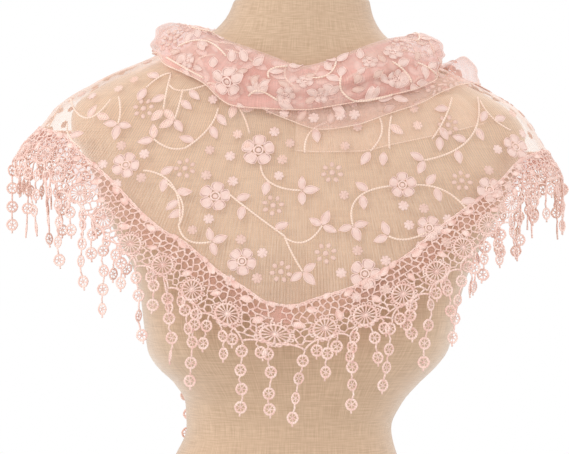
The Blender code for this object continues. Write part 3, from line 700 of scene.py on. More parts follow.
def threads(paths: Array, radius: Array | float, sides: int = 5, up: Array | None = None,
            flat: float = 1.0, closed: bool = False) -> Relief:
    """Sweeps round threads along paths.

    Args:
        paths: Their middle lines, as threads, points and coordinates.
        radius: One radius, or one for each point.
        sides: Sides of a thread.
        up: The way that its flat side faces, +Z if left out.
        flat: Its thickness that way, as a share of its width.
        closed: Whether each path is a ring.

    Returns:
        The threads.
    """
    count, stations = paths.shape[:2]
    after = np.roll(paths, -1, axis=1)
    tangent = after - np.roll(paths, 1, axis=1) if closed else np.gradient(paths, axis=1)
    side = unit(np.cross(np.broadcast_to((0.0, 0.0, 1.0) if up is None else up, paths.shape), tangent))
    top = unit(np.cross(tangent, side))
    turn = whole_turn(sides)[:, None]
    radius = np.broadcast_to(np.asarray(radius, float), (count, stations))[:, :, None, None]
    ring = np.cos(turn) * side[:, :, None, :] + flat * np.sin(turn) * top[:, :, None, :]
    points = (paths[:, :, None, :] + radius * ring).reshape(count, -1, 3)
    faces, corner = grid_faces(stations + closed, sides, wrap=True)
    faces = faces % (stations * sides)
    along = np.insert(np.cumsum(np.linalg.norm(after - paths, axis=2).mean(axis=0)), 0, 0.0)
    share = corner[..., 1] / sides
    stitch = stacked(along[corner[..., 0]] + PLY_TURN * share, share)
    if not closed:
        fan, last = np.arange(1, sides - 1), (stations - 1) * sides
        caps = stacked(0, fan + 1, fan, -1), stacked(last, fan + last, fan + 1 + last, -1)
        faces = np.concatenate([faces, *caps])
        stitch = np.concatenate([stitch, np.zeros((2 * len(fan), 4, 2))])
    return Relief(points[0], faces, stitch * MM).copies(points)


def loft(loops: Array, tips: Array, stitch: Array) -> Relief:
    """A closed pad through loops of points and two tips.

    Args:
        loops: The loops, as loops, points and coordinates.
        tips: The first and the last point.
        stitch: The loops' stitch places.

    Returns:
        The pad.
    """
    count, around = loops.shape[:2]
    faces, corner = grid_faces(count, around, wrap=True)
    all_faces, places = [faces], [stitch[corner[..., 0], corner[..., 1] % around]]
    here = np.arange(around)
    after = (here + 1) % around
    for row, tip, a, b in ((0, 0, after, here), (count - 1, 1, here, after)):
        all_faces.append(stacked(a + row * around, b + row * around, count * around + tip, -1))
        middle = np.broadcast_to(stitch[row].mean(axis=0), (around, 2))
        places.append(np.stack([stitch[row][a], stitch[row][b], middle, middle], axis=1))
    made = Relief(np.concatenate([loops.reshape(-1, 3), tips]), np.concatenate(all_faces),
        np.concatenate(places) * MM)
    return made if made.volume() > 0 else made.moved(made.points, mirrored=True)


def cloth_grid(sheet: Sheet, u: Array, v: Array, lift: Array | float = 0.0) -> Relief:
    """A surface of the cloth, with measured lengths as its stitch places.

    Args:
        sheet: The cloth.
        u: First coordinates of a grid of points.
        v: Their second coordinates.
        lift: How far they stand off the cloth.

    Returns:
        The surface.
    """
    points = sheet.lay(stacked(u, v, lift))
    along = arc_lengths(points[:, points.shape[1] // 2])
    across = np.stack([arc_lengths(row) for row in points])
    faces, corner = grid_faces(*points.shape[:2])
    if sheet.handed > 0:
        faces, corner = faces[:, ::-1], corner[:, ::-1]
    i, j = corner[..., 0], corner[..., 1]
    return Relief(points.reshape(-1, 3), faces, stacked(along[i], across[i, j]) * MM)


def linked(name: str, data: bpy.types.ID) -> Object:
    """A new object in the scene."""
    made = bpy.data.objects.new(name, data)
    bpy.context.scene.collection.objects.link(made)
    return made


@dataclass
class Piece:
    """A mesh that shows, with what it stands for."""

    name: str
    slot: Slot
    finish: Material
    nodes: tuple[str, ...] = ()

    def cast(self, relief: Relief) -> Object:
        """Makes the object from a relief and sets it on the frame."""
        used = relief.faces >= 0
        totals = used.sum(axis=1)
        data = bpy.data.meshes.new(self.name)
        data.vertices.add(len(relief.points))
        data.vertices.foreach_set("co", (relief.points * MM).astype(np.float32).ravel())
        data.loops.add(int(totals.sum()))
        data.loops.foreach_set("vertex_index", relief.faces[used].astype(np.int32))
        data.polygons.add(len(totals))
        starts = np.concatenate([[0], np.cumsum(totals)[:-1]])
        data.polygons.foreach_set("loop_start", starts.astype(np.int32))
        data.polygons.foreach_set("loop_total", totals.astype(np.int32))
        layer = data.uv_layers.new(name=STITCH_UV)
        layer.data.foreach_set("uv", relief.stitch[used].astype(np.float32).ravel())
        data.update(calc_edges=True)
        data.validate()
        data.shade_smooth()
        data.materials.append(self.finish)
        made = linked(self.name, data)
        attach(made, "root")
        if self.nodes:
            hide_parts(*self.nodes)
        LOG.info("%s: %d triangles", self.name, int((totals - 2).sum()))
        return made


def surface_area(relief: Relief) -> float:
    """Area of a relief's faces, in square metres."""
    p = relief.points[relief.faces]
    doubled = np.linalg.norm(np.cross(p[:, 2] - p[:, 0], p[:, 3] - p[:, 1]), axis=1).sum()
    return float(doubled / 2) * MM**2


@dataclass
class Cloth:
    """A net with its area in square metres and the pieces sewn on it."""

    net: Object
    area: float
    sewn: list[Object]

    def declare(self, length: float, held: Held, rests_on: str) -> None:
        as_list(self.sewn)


# ---- finishes
class Nodes:
    """Short calls that add and join the nodes of one tree."""

    def __init__(self, tree: Tree) -> None:
        """Takes the tree to fill."""
        self.tree = tree

    def add(self, kind: str, inputs: dict | None = None, **fields) -> Node:
        """Adds a node.

        Args:
            kind: Its type, as it reads after ShaderNode.
            inputs: Values or sockets for its inputs.
            fields: Its own settings.

        Returns:
            The node.
        """
        node = self.tree.nodes.new("ShaderNode" + kind)
        for key, value in fields.items():
            setattr(node, key, value)
        self.fill(node, inputs or {})
        return node

    def fill(self, node: Node, values: dict) -> None:
        """Joins a node's inputs to sockets or gives them values."""
        for key, value in values.items():
            if isinstance(value, Socket):
                self.tree.links.new(value, node.inputs[key])
            else:
                node.inputs[key].default_value = value

    def maths(self, operation: str, *values) -> Socket:
        """A sum of one to three values."""
        return self.add("Math", dict(enumerate(values)), operation=operation).outputs[0]

    def times(self, first, second) -> Socket:
        """The product of two values."""
        return self.maths("MULTIPLY", first, second)

    def ramp(self, value, low: float, high: float, start: float = 0.0, end: float = 1.0) -> Socket:
        """A value mapped from low..high to start..end, and held there."""
        names = ("Value", "From Min", "From Max", "To Min", "To Max")
        return self.add("MapRange", dict(zip(names, (value, low, high, start, end)))).outputs[0]

    def mixed(self, share, first, second) -> Socket:
        """A mix of two colours."""
        return self.add("Mix", {0: share, 6: first, 7: second}, data_type="RGBA").outputs[2]

    def noise(self, place: Socket, scale: float | Socket, detail: float = 2.0) -> Socket:
        """Smooth noise from 0 to 1."""
        inputs = {"Vector": place, "Scale": scale, "Detail": detail}
        return self.add("TexNoise", inputs).outputs["Fac"]

    def drawn_noise(self, along: float, across: float, detail: float) -> Socket:
        """Noise drawn out over the stitch places."""
        inputs = {"Vector": self.stitch_place(), "Scale": (along, across, 1.0)}
        return self.noise(self.add("Mapping", inputs).outputs["Vector"], 1.0, detail)

    def stitch_place(self) -> Socket:
        """The surface's stitch place."""
        return self.add("UVMap", uv_map=STITCH_UV).outputs["UV"]

    def here(self) -> Socket:
        """The place in the object."""
        return self.add("TexCoord").outputs["Object"]

    def parts(self, vector: Socket) -> list[Socket]:
        """A vector's X, Y and Z."""
        return list(self.add("SeparateXYZ", {0: vector}).outputs)

    def bump(self, height: Socket, strength: float, distance: float) -> Socket:
        """The normal of a surface that is raised by a height."""
        inputs = {"Height": height, "Strength": strength, "Distance": distance}
        return self.add("Bump", inputs).outputs["Normal"]

    def in_shadow(self, share: float) -> Socket:
        """A share for the rays of shadows, and 1 for all others."""
        return self.ramp(self.add("LightPath").outputs["Is Shadow Ray"], 0.0, 1.0, 1.0, share)

    def group(self, tree: Tree, **inputs) -> Node:
        """Places a node group."""
        return self.add("Group", inputs, node_tree=tree)


def new_group(name: str, inputs: dict[str, float | Colour], outputs: Sequence[str]
              ) -> tuple[Nodes, Sequence[Socket], Node]:
    """Starts a shader node group.

    Args:
        name: Its name.
        inputs: The inputs' names and first values.
        outputs: The outputs' names.

    Returns:
        Its nodes, the sockets that it is given, and its output node.
    """
    tree = bpy.data.node_groups.new(name, "ShaderNodeTree")
    kinds = {True: "NodeSocketColor", False: "NodeSocketFloat"}
    for key, value in inputs.items():
        kind = kinds[isinstance(value, tuple)]
        tree.interface.new_socket(key, in_out="INPUT", socket_type=kind).default_value = value
    for key in outputs:
        tree.interface.new_socket(key, in_out="OUTPUT", socket_type=kinds[key == "Colour"])
    given, end = (tree.nodes.new(kind) for kind in ("NodeGroupInput", "NodeGroupOutput"))
    return Nodes(tree), given.outputs, end


class Effects:
    """The node groups that several finishes share, each built once."""

    def __init__(self) -> None:
        """Builds the groups."""
        self.stitches, self.tone = self.stitch_rows(), self.slow_tone()
        self.mesh, self.crest = self.fine_mesh(), self.paler_crest()

    def stitch_rows(self) -> Tree:
        """Rows of stitches, or a thread's ply, with a little fuzz, and a mask of the troughs between them
        for painted shade.
        """
        nodes, given, end = new_group("stitch_rows", {"Pitch": 0.0008, "Fuzz": 0.3}, ("Height", "Groove"))
        turns = nodes.maths("DIVIDE", nodes.parts(nodes.stitch_place())[0], given["Pitch"])
        wave = nodes.maths("SINE", nodes.times(turns, math.tau))
        row = nodes.maths("MULTIPLY_ADD", wave, 0.5, 0.5)
        fuzz = nodes.times(nodes.noise(nodes.here(), 2600.0, 3.0), given["Fuzz"])
        # The trough mask is 1 between rows and plies, where finishes paint shade.
        nodes.fill(end, {"Height": nodes.maths("ADD", row, fuzz),
            "Groove": nodes.ramp(row, 0.0, 0.35, 1.0, 0.0)})
        return nodes.tree

    def slow_tone(self) -> Tree:
        """A colour that drifts slowly towards a second one."""
        grey = (0.8, 0.8, 0.8, 1.0)
        nodes, given, end = new_group("slow_tone", {"Colour": grey, "Second": grey, "Scale": 20.0},
            ("Colour",))
        share = nodes.ramp(nodes.noise(nodes.here(), given["Scale"], 3.0), 0.35, 0.68)
        nodes.fill(end, {"Colour": nodes.mixed(share, given["Colour"], given["Second"])})
        return nodes.tree

    def fine_mesh(self) -> Tree:
        """A net of six-sided holes: 1 on its threads and 0 in its holes."""
        nodes, given, end = new_group("fine_mesh", {"Cell": 0.0014, "Openness": 0.4}, ("Thread",))
        x, y, _ = (nodes.maths("DIVIDE", nodes.times(part, math.tau), given["Cell"])
                   for part in nodes.parts(nodes.stitch_place()))
        waves = [nodes.maths("COSINE", x)]
        for way in (0.8660254, -0.8660254):
            slanted = nodes.maths("MULTIPLY_ADD", y, way, nodes.times(x, 0.5))
            waves.append(nodes.maths("COSINE", slanted))
        total = nodes.maths("ADD", nodes.maths("ADD", waves[0], waves[1]), waves[2])
        edge = nodes.maths("SUBTRACT", total, given["Openness"])
        nodes.fill(end, {"Thread": nodes.ramp(edge, -0.35, 0.35, 1.0, 0.0)})
        return nodes.tree

    def paler_crest(self) -> Tree:
        """Masks of folded net: noisy patches and streaks for painted fold shade, and the thin stretch to the
        crest.
        """
        nodes, given, end = new_group("paler_crest", {"From": 0.515, "To": 0.56, "Spread": 58.0},
            ("Crest", "Folds"))
        height = nodes.parts(nodes.here())[2]
        patches = nodes.times(nodes.noise(nodes.here(), given["Spread"]), 0.62)
        lines = nodes.times(nodes.drawn_noise(14.0, 120.0, 2.0), 0.38)
        nodes.fill(end, {"Crest": nodes.ramp(height, given["From"], given["To"]),
            "Folds": nodes.ramp(nodes.maths("ADD", patches, lines), 0.38, 0.6)})
        return nodes.tree


def new_material(name: str) -> tuple[Material, Nodes, Node]:
    """A material with its nodes and its Principled shader."""
    made = bpy.data.materials.new(name)
    made.use_nodes = True
    return made, Nodes(made.node_tree), made.node_tree.nodes["Principled BSDF"]


@dataclass(frozen=True)
class NetFinish:
    """Sheer net: fine threads with holes between them, seen as a veil."""

    name: str
    thread: Colour
    second: Colour
    hole_cover: float
    thread_cover: float
    # Strength of the painted fold shade, which also adds cover where layers of net stack.
    folds: float = 0.0
    thinning: float = 0.0
    shade: float = 0.4
    # Strength of a faint glow in the net's own colour: painted light that lifts its shade.
    glow: float = 0.05
    ribbed: float = 0.1
    edge_on: float = 0.65
    cell: float = 0.0014
    openness: float = 0.2
    rib: float = 0.0022
    crest: Colour = (0.82, 0.67, 0.63, 1.0)

    def made(self, effects: Effects) -> Material:
        """Builds the material."""
        material, nodes, shader = new_material(self.name)
        net = nodes.group(effects.mesh, Cell=self.cell, Openness=self.openness).outputs["Thread"]
        ribs = nodes.group(effects.stitches, Pitch=self.rib, Fuzz=0.0).outputs["Height"]
        weave = nodes.maths("MULTIPLY_ADD", ribs, self.ribbed, nodes.times(net, 0.3))
        uneven = nodes.ramp(nodes.drawn_noise(700.0, 40.0, 3.0), 0.3, 0.7)
        weave = nodes.maths("MULTIPLY_ADD", uneven, 0.7 - self.ribbed, weave)
        tone = nodes.group(effects.tone, Colour=self.thread, Second=self.second, Scale=26.0)
        colour = tone.outputs["Colour"]
        cover = nodes.ramp(weave, 0.0, 1.0, self.hole_cover, self.thread_cover)
        # Painted fold shade: patches and streaks turn towards the second colour, with more cover where
        # layers of net stack.
        if self.folds:
            layers = nodes.group(effects.crest)
            deep = nodes.times(layers.outputs["Folds"], self.folds)
            thin = nodes.times(layers.outputs["Crest"], self.thinning)
            colour = nodes.mixed(thin, nodes.mixed(deep, colour, self.second), self.crest)
            cover = nodes.maths("MINIMUM", nodes.maths("MULTIPLY_ADD", deep, 0.3, cover), 1.0)
            cover = nodes.times(cover, nodes.maths("SUBTRACT", 1.0, thin))
        facing = nodes.add("LayerWeight", {"Blend": 0.5}).outputs["Facing"]
        colour = nodes.mixed(nodes.ramp(facing, 0.5, 0.95, 0.0, 0.8), colour, self.crest)
        cover = nodes.maths("MAXIMUM", cover, nodes.ramp(facing, 0.5, 0.85, 0.0, self.edge_on))
        # Painted light: the net glows faintly in its own colour, as if lit through its threads.
        nodes.fill(shader, {"Base Color": colour, "Emission Color": colour, "Emission Strength": self.glow,
            "Alpha": nodes.times(cover, nodes.in_shadow(self.shade)),
            "Normal": nodes.bump(net, 0.25, 0.0002), "Roughness": 0.75, "Sheen Weight": 0.15,
            "Specular IOR Level": 0.25})
        return material


@dataclass(frozen=True)
class StitchFinish:
    """Laid or plied thread: satin stitch, stems, guipure and fringe, with painted shade in the troughs
    between its rows and plies.
    """

    name: str
    thread: Colour
    second: Colour
    pitch: float
    scale: float
    groove_share: float = 0.7
    shade: float = 0.3
    # The darker colour painted into the troughs between rows and plies as shade.
    groove: Colour = (0.58, 0.38, 0.33, 1.0)
    depth: float = 0.00018
    roughness: float = 0.6
    sheen: float = 0.2
    # Strength of a faint glow in the thread's own colour: painted light that lifts its shade.
    glow: float = 0.07

    def made(self, effects: Effects) -> Material:
        """Builds the material."""
        material, nodes, shader = new_material(self.name)
        rows = nodes.group(effects.stitches, Pitch=self.pitch, Fuzz=0.4).outputs
        tone = nodes.group(effects.tone, Colour=self.thread, Second=self.second, Scale=self.scale)
        # Painted shade: the troughs between rows and plies turn towards the darker colour.
        share = nodes.times(rows["Groove"], self.groove_share)
        colour = nodes.mixed(share, tone.outputs["Colour"], self.groove)
        # Painted light: the thread glows faintly in its own colour, lifting its shade.
        nodes.fill(shader, {"Base Color": colour, "Emission Color": colour, "Emission Strength": self.glow,
            "Alpha": nodes.in_shadow(self.shade), "Specular IOR Level": 0.3,
            "Normal": nodes.bump(rows["Height"], 0.6, self.depth), "Roughness": self.roughness,
            "Sheen Weight": self.sheen})
        return material


@dataclass(frozen=True)
class LinenFinish:
    """Unbleached linen in a plain weave, with slubs and a slow drift of tone."""

    name: str = "linen_cover"
    yarn: Colour = (0.555, 0.39, 0.262, 1.0)
    second: Colour = (0.52, 0.36, 0.24, 1.0)
    slub: Colour = (0.71, 0.52, 0.37, 1.0)
    pitch: float = 0.0011

    def made(self, effects: Effects) -> Material:
        """Builds the material."""
        material, nodes, shader = new_material(self.name)
        waves = [nodes.maths("SINE", nodes.times(part, math.tau / self.pitch))
                 for part in nodes.parts(nodes.stitch_place())[:2]]
        weave = nodes.maths("MULTIPLY_ADD", nodes.times(*waves), 0.5, 0.5)
        slubs = [nodes.drawn_noise(*scale, 3.0) for scale in ((40.0, 900.0), (900.0, 55.0))]
        yarns = nodes.times(nodes.maths("ADD", *slubs), 0.5)
        tone = nodes.group(effects.tone, Colour=self.yarn, Second=self.second, Scale=7.0)
        streak = nodes.ramp(yarns, 0.38, 0.62, 0.0, 0.9)
        nodes.fill(shader, {"Base Color": nodes.mixed(streak, tone.outputs["Colour"], self.slub),
            "Normal": nodes.bump(nodes.maths("ADD", weave, yarns), 0.35, 0.00025),
            "Roughness": nodes.ramp(yarns, 0.3, 0.7, 0.95, 0.82), "Sheen Weight": 0.75,
            "Sheen Roughness": 0.4, "Specular IOR Level": 0.2})
        return material


@dataclass(frozen=True)
class FloorFinish:
    """A pale matt floor with the faintest mottling."""

    name: str = "studio_floor"
    paint: Colour = (0.86, 0.86, 0.855, 1.0)
    second: Colour = (0.83, 0.83, 0.825, 1.0)

    def made(self, effects: Effects) -> Material:
        """Builds the material."""
        material, nodes, shader = new_material(self.name)
        tone = nodes.group(effects.tone, Colour=self.paint, Second=self.second, Scale=3.0)
        nodes.fill(shader, {"Base Color": tone.outputs["Colour"], "Roughness": 0.9})
        return material


class Finishes:
    """Every finish of the object, built once."""

    def __init__(self) -> None:
        """Builds the materials."""
        effects = Effects()
        # rose and deep are darker copies of the net's pink: partly the deeper pink of stacked layers, partly
        # painted shade.
        pale, rose, deep = (0.91, 0.7, 0.64, 1.0), (0.84, 0.53, 0.47, 1.0), (0.72, 0.35, 0.29, 1.0)
        peach, beige = (1.0, 0.8, 0.66, 1.0), (0.95, 0.73, 0.59, 1.0)
        nets = (NetFinish("net_single", peach, beige, 0.06, 0.4, ribbed=0.4),
            NetFinish("net_double", pale, rose, 0.15, 0.42, 0.3),
            # Net turned under the lace: darker copies, partly stacked layers and partly painted shade under
            # the lace.
            NetFinish("net_turned_edge", rose, deep, 0.12, 0.36, 0.4),
            NetFinish("net_folded", pale, rose, 0.16, 0.44, 0.7, 0.5),
            # Fold inside the cowl: darker copies, partly stacked layers and partly painted shade inside the
            # fold.
            NetFinish("net_inner", rose, deep, 0.5, 0.85, 0.8, 0.5),
            NetFinish("net_gathered", pale, rose, 0.72, 0.95, 0.7))
        (self.net, self.net_double, self.net_edge, self.net_folded, self.net_inner,
         self.net_gathered) = (finish.made(effects) for finish in nets)
        satin = StitchFinish("satin_stitch", (0.9, 0.7, 0.64, 1.0), (0.84, 0.61, 0.54, 1.0), 0.0011, 210.0,
            0.9)
        faint = StitchFinish("faint_stitch", (0.81, 0.58, 0.5, 1.0), (0.75, 0.51, 0.43, 1.0), 0.0011, 210.0)
        stem = StitchFinish("stem_cord", (0.94, 0.75, 0.63, 1.0), (0.87, 0.67, 0.55, 1.0), 0.0024, 90.0)
        self.threads = {stitch: finish.made(effects) for stitch, finish in zip(Stitch, (satin, faint, stem))}
        self.guipure = StitchFinish("guipure_thread", (0.95, 0.74, 0.67, 1.0), (0.82, 0.53, 0.46, 1.0),
            0.0022, 190.0, 0.45, 0.85).made(effects)
        self.linen, self.floor = (kind().made(effects) for kind in (LinenFinish, FloorFinish))

    def lace(self, name: str, node: str) -> Piece:
        """A piece of lace that stands for a node."""
        return Piece(name, Slot.LACE, self.guipure, (node,))


# ---- embroidery work
def dot(radius: float, raised: float, around: int = 8) -> Relief:
    """A small round pad."""
    loops = np.stack([round_at(radius * r, whole_turn(around), z)
        for r, z in ((0.8, -0.15), (1.0, 0.15), (0.68, raised * 0.82))])
    return loft(loops, np.array([[0.0, 0.0, -0.15], [0.0, 0.0, raised]]), loops[..., :2])


@dataclass(frozen=True)
class MotifShapes:
    """The motifs' reliefs: x right, y down and the rest raised."""

    petal_from: float = 4.8
    petal_to: float = 14.4
    petal_base: float = 3.0
    petal_half: float = 5.8
    ring: float = 4.0
    leaf_length: float = 15.0
    leaf_half: float = 3.8
    height: float = 0.35
    rim: float = 0.42
    crest_place: float = 0.275
    # Where on a row the pad's sides sit: in its trough, for a painted shadow line.
    groove_place: float = 0.825

    def pad(self, stations: Array, half_widths: Array, dip: float) -> Relief:
        """A satin pad along x with a corded edge, a dip along its middle and a painted shadow line down its
        outer sides.

        Args:
            stations: Where its sections and, first and last, its tips stand.
            half_widths: Half its width at each section.
            dip: Depth of the dip, as a share of the height.

        Returns:
            The pad.
        """
        across = np.array([-1.0, -0.76, 0.0, 0.76, 1.0, 0.0])
        crown = np.array([0.0, 1.0, 1.0 - dip, 1.0, 0.0, -0.3])
        x, y = stations[1:-1, None], half_widths[:, None] * across
        full = np.clip(half_widths / half_widths.max(), 0.45, 1.0)[:, None]
        loops = stacked(x, y, self.height * full * crown + 0.1)
        tips = np.array([[stations[0], 0.0, 0.05], [stations[-1], 0.0, 0.05]])
        filled = loft(loops, tips, stacked(x - 0.45 * np.abs(y), y))
        # Painted shadow: the pad's outer sides read as a row's trough, so the trough shade draws a dark line
        # round them.
        shadow_sides = np.arange((len(loops) - 1) * 6).reshape(-1, 6)[:, [0, 3]]
        filled.stitch[shadow_sides] = self.groove_place * MM
        sides = [loops[:, 4], tips[1:], loops[::-1, 0], tips[:1]]
        edge = threads(np.concatenate(sides)[None] + (0.0, 0.0, self.height), self.rim, 4, closed=True)
        return joined([filled, self.bare(edge)])

    def bare(self, relief: Relief) -> Relief:
        """The relief with all of it on a row's crest, to show no rows and none of their painted shade."""
        return Relief(relief.points, relief.faces, np.full_like(relief.stitch, self.crest_place * MM))

    def turned(self, relief: Relief, degrees: float, out: float = 0.0) -> Relief:
        """A relief moved out along x and then turned round the middle."""
        turn = math.radians(degrees)
        x, y, z = (relief.points + (out, 0.0, 0.0)).T
        c, s = math.cos(turn), math.sin(turn)
        return relief.moved(stacked(c * x - s * y, s * x + c * y, z))

    def flower(self) -> Relief:
        """Five rounded petals of radial satin stitches round a ringed disc."""
        t, widest = np.linspace(0, 1, 10), 0.6
        swell = np.sin(np.clip(t / widest, 0, 1) * math.pi / 2)
        end = np.sqrt(1 - (np.clip(t - widest, 0, 1) / (1 - widest)) ** 2)
        half = (self.petal_base + (self.petal_half - self.petal_base) * swell) * end
        petal = self.pad(self.petal_from + (self.petal_to - self.petal_from) * t, half[1:-1], 0.3)
        petal.stitch = petal.stitch[..., ::-1]
        parts = [self.turned(petal, 72.0 * number - 90.0) for number in range(5)]
        path = round_at(self.ring, whole_turn(16), 0.5)
        parts.append(self.bare(threads(path[None], 0.8, closed=True)))
        return joined([*parts, dot(2.7, 0.5)])

    def leaf(self) -> Relief:
        """A pointed leaf with a vein."""
        t = np.linspace(0, 1, 10)
        half = self.leaf_half * np.sin(math.pi * t[1:-1] ** 0.85)
        return self.pad(1.0 + self.leaf_length * t, half, 0.55)

    def cluster(self, count: int, lobe: float, out: float, middle: float, stretch: float = 1.0) -> Relief:
        """Pads in a ring about a larger one: a blossom, or a ring of flecks."""
        pad = dot(lobe, 0.4, 7)
        pad = pad.moved(pad.points * (stretch, 1.0, 1.0))
        parts = [self.turned(pad, 360.0 * number / count - 90.0, out) for number in range(count)]
        return joined([*parts, dot(middle, 0.5)])

    def all(self) -> dict[Motif, Relief]:
        """Every motif's relief."""
        return {Motif.FLOWER: self.flower(), Motif.LEAF: self.leaf(),
            Motif.BLOSSOM: self.cluster(7, 1.7, 3.5, 3.0), Motif.DOTS: self.cluster(7, 2.1, 7.6, 2.7, 1.25)}


SHAPES = MotifShapes().all()
ROOM = {Motif.FLOWER: 14.0, Motif.LEAF: 8.0, Motif.BLOSSOM: 8.0, Motif.DOTS: 10.0}


@dataclass(frozen=True)
class Strewn:
    """What a try at a scattered place works: a motif, or a sprig where there is none."""

    motif: Motif | None
    room: float
    scale: float = 1.0
    faint: bool = False


STREWN = (Strewn(Motif.FLOWER, 15.0, 0.92), Strewn(None, 7.0), Strewn(Motif.DOTS, 8.5, 1.0, True),
          Strewn(Motif.BLOSSOM, 8.0, 0.88), Strewn(Motif.LEAF, 4.5, 0.8, True))


class Embroidery:
    """Motifs and stems worked on one sheet of net."""

    def __init__(self, sheet: Sheet, lift: float = 0.0) -> None:
        """Starts with bare net."""
        self.sheet, self.lift = sheet, lift
        self.anchors: dict[tuple[Motif, Stitch], list[Row]] = {}
        self.stems: list[Relief] = []
        self.taken: list[tuple[Array, float]] = []

    def put(self, motif: Motif, u: float, v: float, heading: float = 0.0, scale: float = 1.0,
            stitch: Stitch = Stitch.SATIN) -> None:
        """Works one motif."""
        self.anchors.setdefault((motif, stitch), []).append((u, v, heading, scale))
        if motif is Motif.LEAF:
            u, v = self.sheet.stride(u, v, heading, 8.0 * scale)
        self.taken.append((self.sheet.at(u, v), ROOM[motif] * scale))

    def free(self, u: float, v: float, room: float) -> bool:
        """Whether there is room for a motif at a place."""
        here = self.sheet.at(u, v)
        return all(np.linalg.norm(here - there) > room + taken for there, taken in self.taken)

    def stem(self, line: Array, leaves: Row = (), spray: int = 0, radius: float = 0.95) -> None:
        """Works a stem.

        Args:
            line: Its flat places.
            leaves: Each leaf's share of the stem, negative on its left.
            spray: How many leaves its end has.
            radius: Its thread's radius.
        """
        path = self.sheet.lay(stacked(*line.T, 0.3 + self.lift))
        up = self.sheet.read(self.sheet.normals, *line.T)
        self.stems.append(threads(path[None], radius, 5, up[None], 0.8))
        self.taken.extend((point, 1.5) for point in path[::3])
        for place in leaves:
            at = min(int(abs(place) * (len(line) - 1)), len(line) - 2)
            heading = self.sheet.heading(line[at], line[at + 1]) + math.copysign(58.0, place)
            self.put(Motif.LEAF, *line[at], heading, 0.9)
        heading = self.sheet.heading(line[-2], line[-1])
        for spread in ((), (-8.0,), (-50.0, 42.0), (-90.0, -8.0, 84.0))[spray]:
            self.put(Motif.LEAF, *line[-1], heading + spread, 1.0 - abs(spread) / 600.0)

    def chart(self, stems: Iterable[tuple], motifs: dict[Motif, tuple[Row, ...]]) -> None:
        """Works a chart whose places are mm across and below the neck's top, in front.

        Args:
            stems: The fields of each stem.
            motifs: For each motif its rows: x, drop and, if they matter, heading and scale.
        """
        for stem in (Stem(*row) for row in stems):
            self.stem(self.sheet.seen_at(*stem.line().T), stem.leaves, stem.spray)
        for motif, rows in motifs.items():
            for row in rows:
                x, drop, turn, scale = (*row, *(0.0, 1.0)[len(row) - 2:])
                ahead = math.cos(math.radians(turn)), math.sin(math.radians(turn))
                here, there = self.sheet.seen_at([x, x + ahead[0]], [drop, drop + ahead[1]])
                self.put(motif, *here, self.sheet.heading(here, there), scale,
                         Stitch.FAINT if motif is Motif.DOTS else Stitch.SATIN)

    def ring_flowers(self, out: float = 23.0) -> None:
        """Works blossoms between the petals of each flower."""
        flowers = [anchor for (motif, _), rows in self.anchors.items() if motif is Motif.FLOWER
                   for anchor in rows]
        for u, v, heading, scale in flowers:
            for number in range(5):
                turn = heading + 72.0 * number - 54.0
                spot = self.sheet.stride(u, v, turn, out * scale)
                if self.free(*spot, 4.5):
                    faint = Stitch.FAINT if number % 3 == 1 else Stitch.SATIN
                    self.put(Motif.BLOSSOM, *spot, turn, 0.95, faint)

    def wander(self, u: float, v: float, heading: float, bend: float, length: float) -> Array:
        """A line that starts at a place and curves evenly, in flat places."""
        line, step = [(u, v)], 2.5
        for _ in range(int(length / step)):
            u, v = self.sheet.stride(u, v, heading, step)
            if not (self.sheet.u[1] < u < self.sheet.u[-2] and self.sheet.v[1] < v < self.sheet.v[-2]):
                break
            line.append((u, v))
            heading += bend * step
        return np.array(line)

    def scatter(self, seed: int, tries: int, u: Pair, v: Pair, weights: Row, scale: float = 1.0,
            within: Callable[[float, float], bool] = lambda u, v: True) -> None:
        """Fills a region with an even spread of motifs.

        Args:
            seed: The random seed.
            tries: How many places are tried.
            u: The region's first limits.
            v: Its second limits.
            weights: How often each row of STREWN comes up.
            scale: Size of the motifs.
            within: Whether a place is in it.
        """
        random = np.random.default_rng(seed)
        kinds = random.choice(len(weights), size=tries, p=np.array(weights) / sum(weights))
        places = random.uniform((u[0], v[0]), (u[1], v[1]), size=(tries, 2))
        turns = random.uniform(0.0, 360.0, size=tries)
        bends = random.uniform(1.0, 2.6, size=tries) * random.choice((-1.0, 1.0), size=tries)
        stitches = random.choice((Stitch.SATIN, Stitch.FAINT), size=tries, p=(0.62, 0.38))
        for kind, (x, y), turn, bend, stitch in zip(kinds, places, turns, bends, stitches):
            kind = STREWN[kind]
            if not within(x, y) or not self.free(x, y, kind.room):
                continue
            if kind.motif:
                worked = Stitch.FAINT if kind.faint else stitch
                self.put(kind.motif, x, y, turn, kind.scale * scale, worked)
                continue
            line = self.wander(x, y, turn, bend, 32.0)
            if len(line) > 7 and all(self.free(*spot, 4.0) for spot in line[::3]):
                self.stem(line, (0.3, -0.5), 3)

    def pieces(self, name: str, finishes: "Finishes") -> list[Object]:
        """Casts the work, a piece for each kind of thread."""
        parts: dict[Stitch, list[Relief]] = {Stitch.STEM: self.stems}
        for (motif, stitch), anchors in self.anchors.items():
            shape = SHAPES[motif].points + (0.0, 0.0, self.lift)
            points = self.sheet.lay_copies(shape, np.array(anchors))
            parts.setdefault(stitch, []).append(SHAPES[motif].copies(points, self.sheet.handed < 0))
        return [Piece(f"{name}_{stitch.value}", Slot.NET, finishes.threads[stitch])
                .cast(joined(reliefs)) for stitch, reliefs in parts.items() if reliefs]


@dataclass(frozen=True)
class Stem:
    """A stem of a chart, in mm across and below the neck's top."""

    start: Pair
    through: Pair
    end: Pair
    leaves: Row = ()
    spray: int = 0

    def line(self) -> Array:
        """Places along it, about 2.5 mm apart."""
        a, m, b = (np.array(p, float) for p in (self.start, self.through, self.end))
        bend = 2 * m - (a + b) / 2
        count = max(5, int(np.linalg.norm(m - a) + np.linalg.norm(b - m)) // 2)
        t = np.linspace(0, 1, count)[:, None]
        return (1 - t) ** 2 * a + 2 * t * (1 - t) * bend + t * t * b


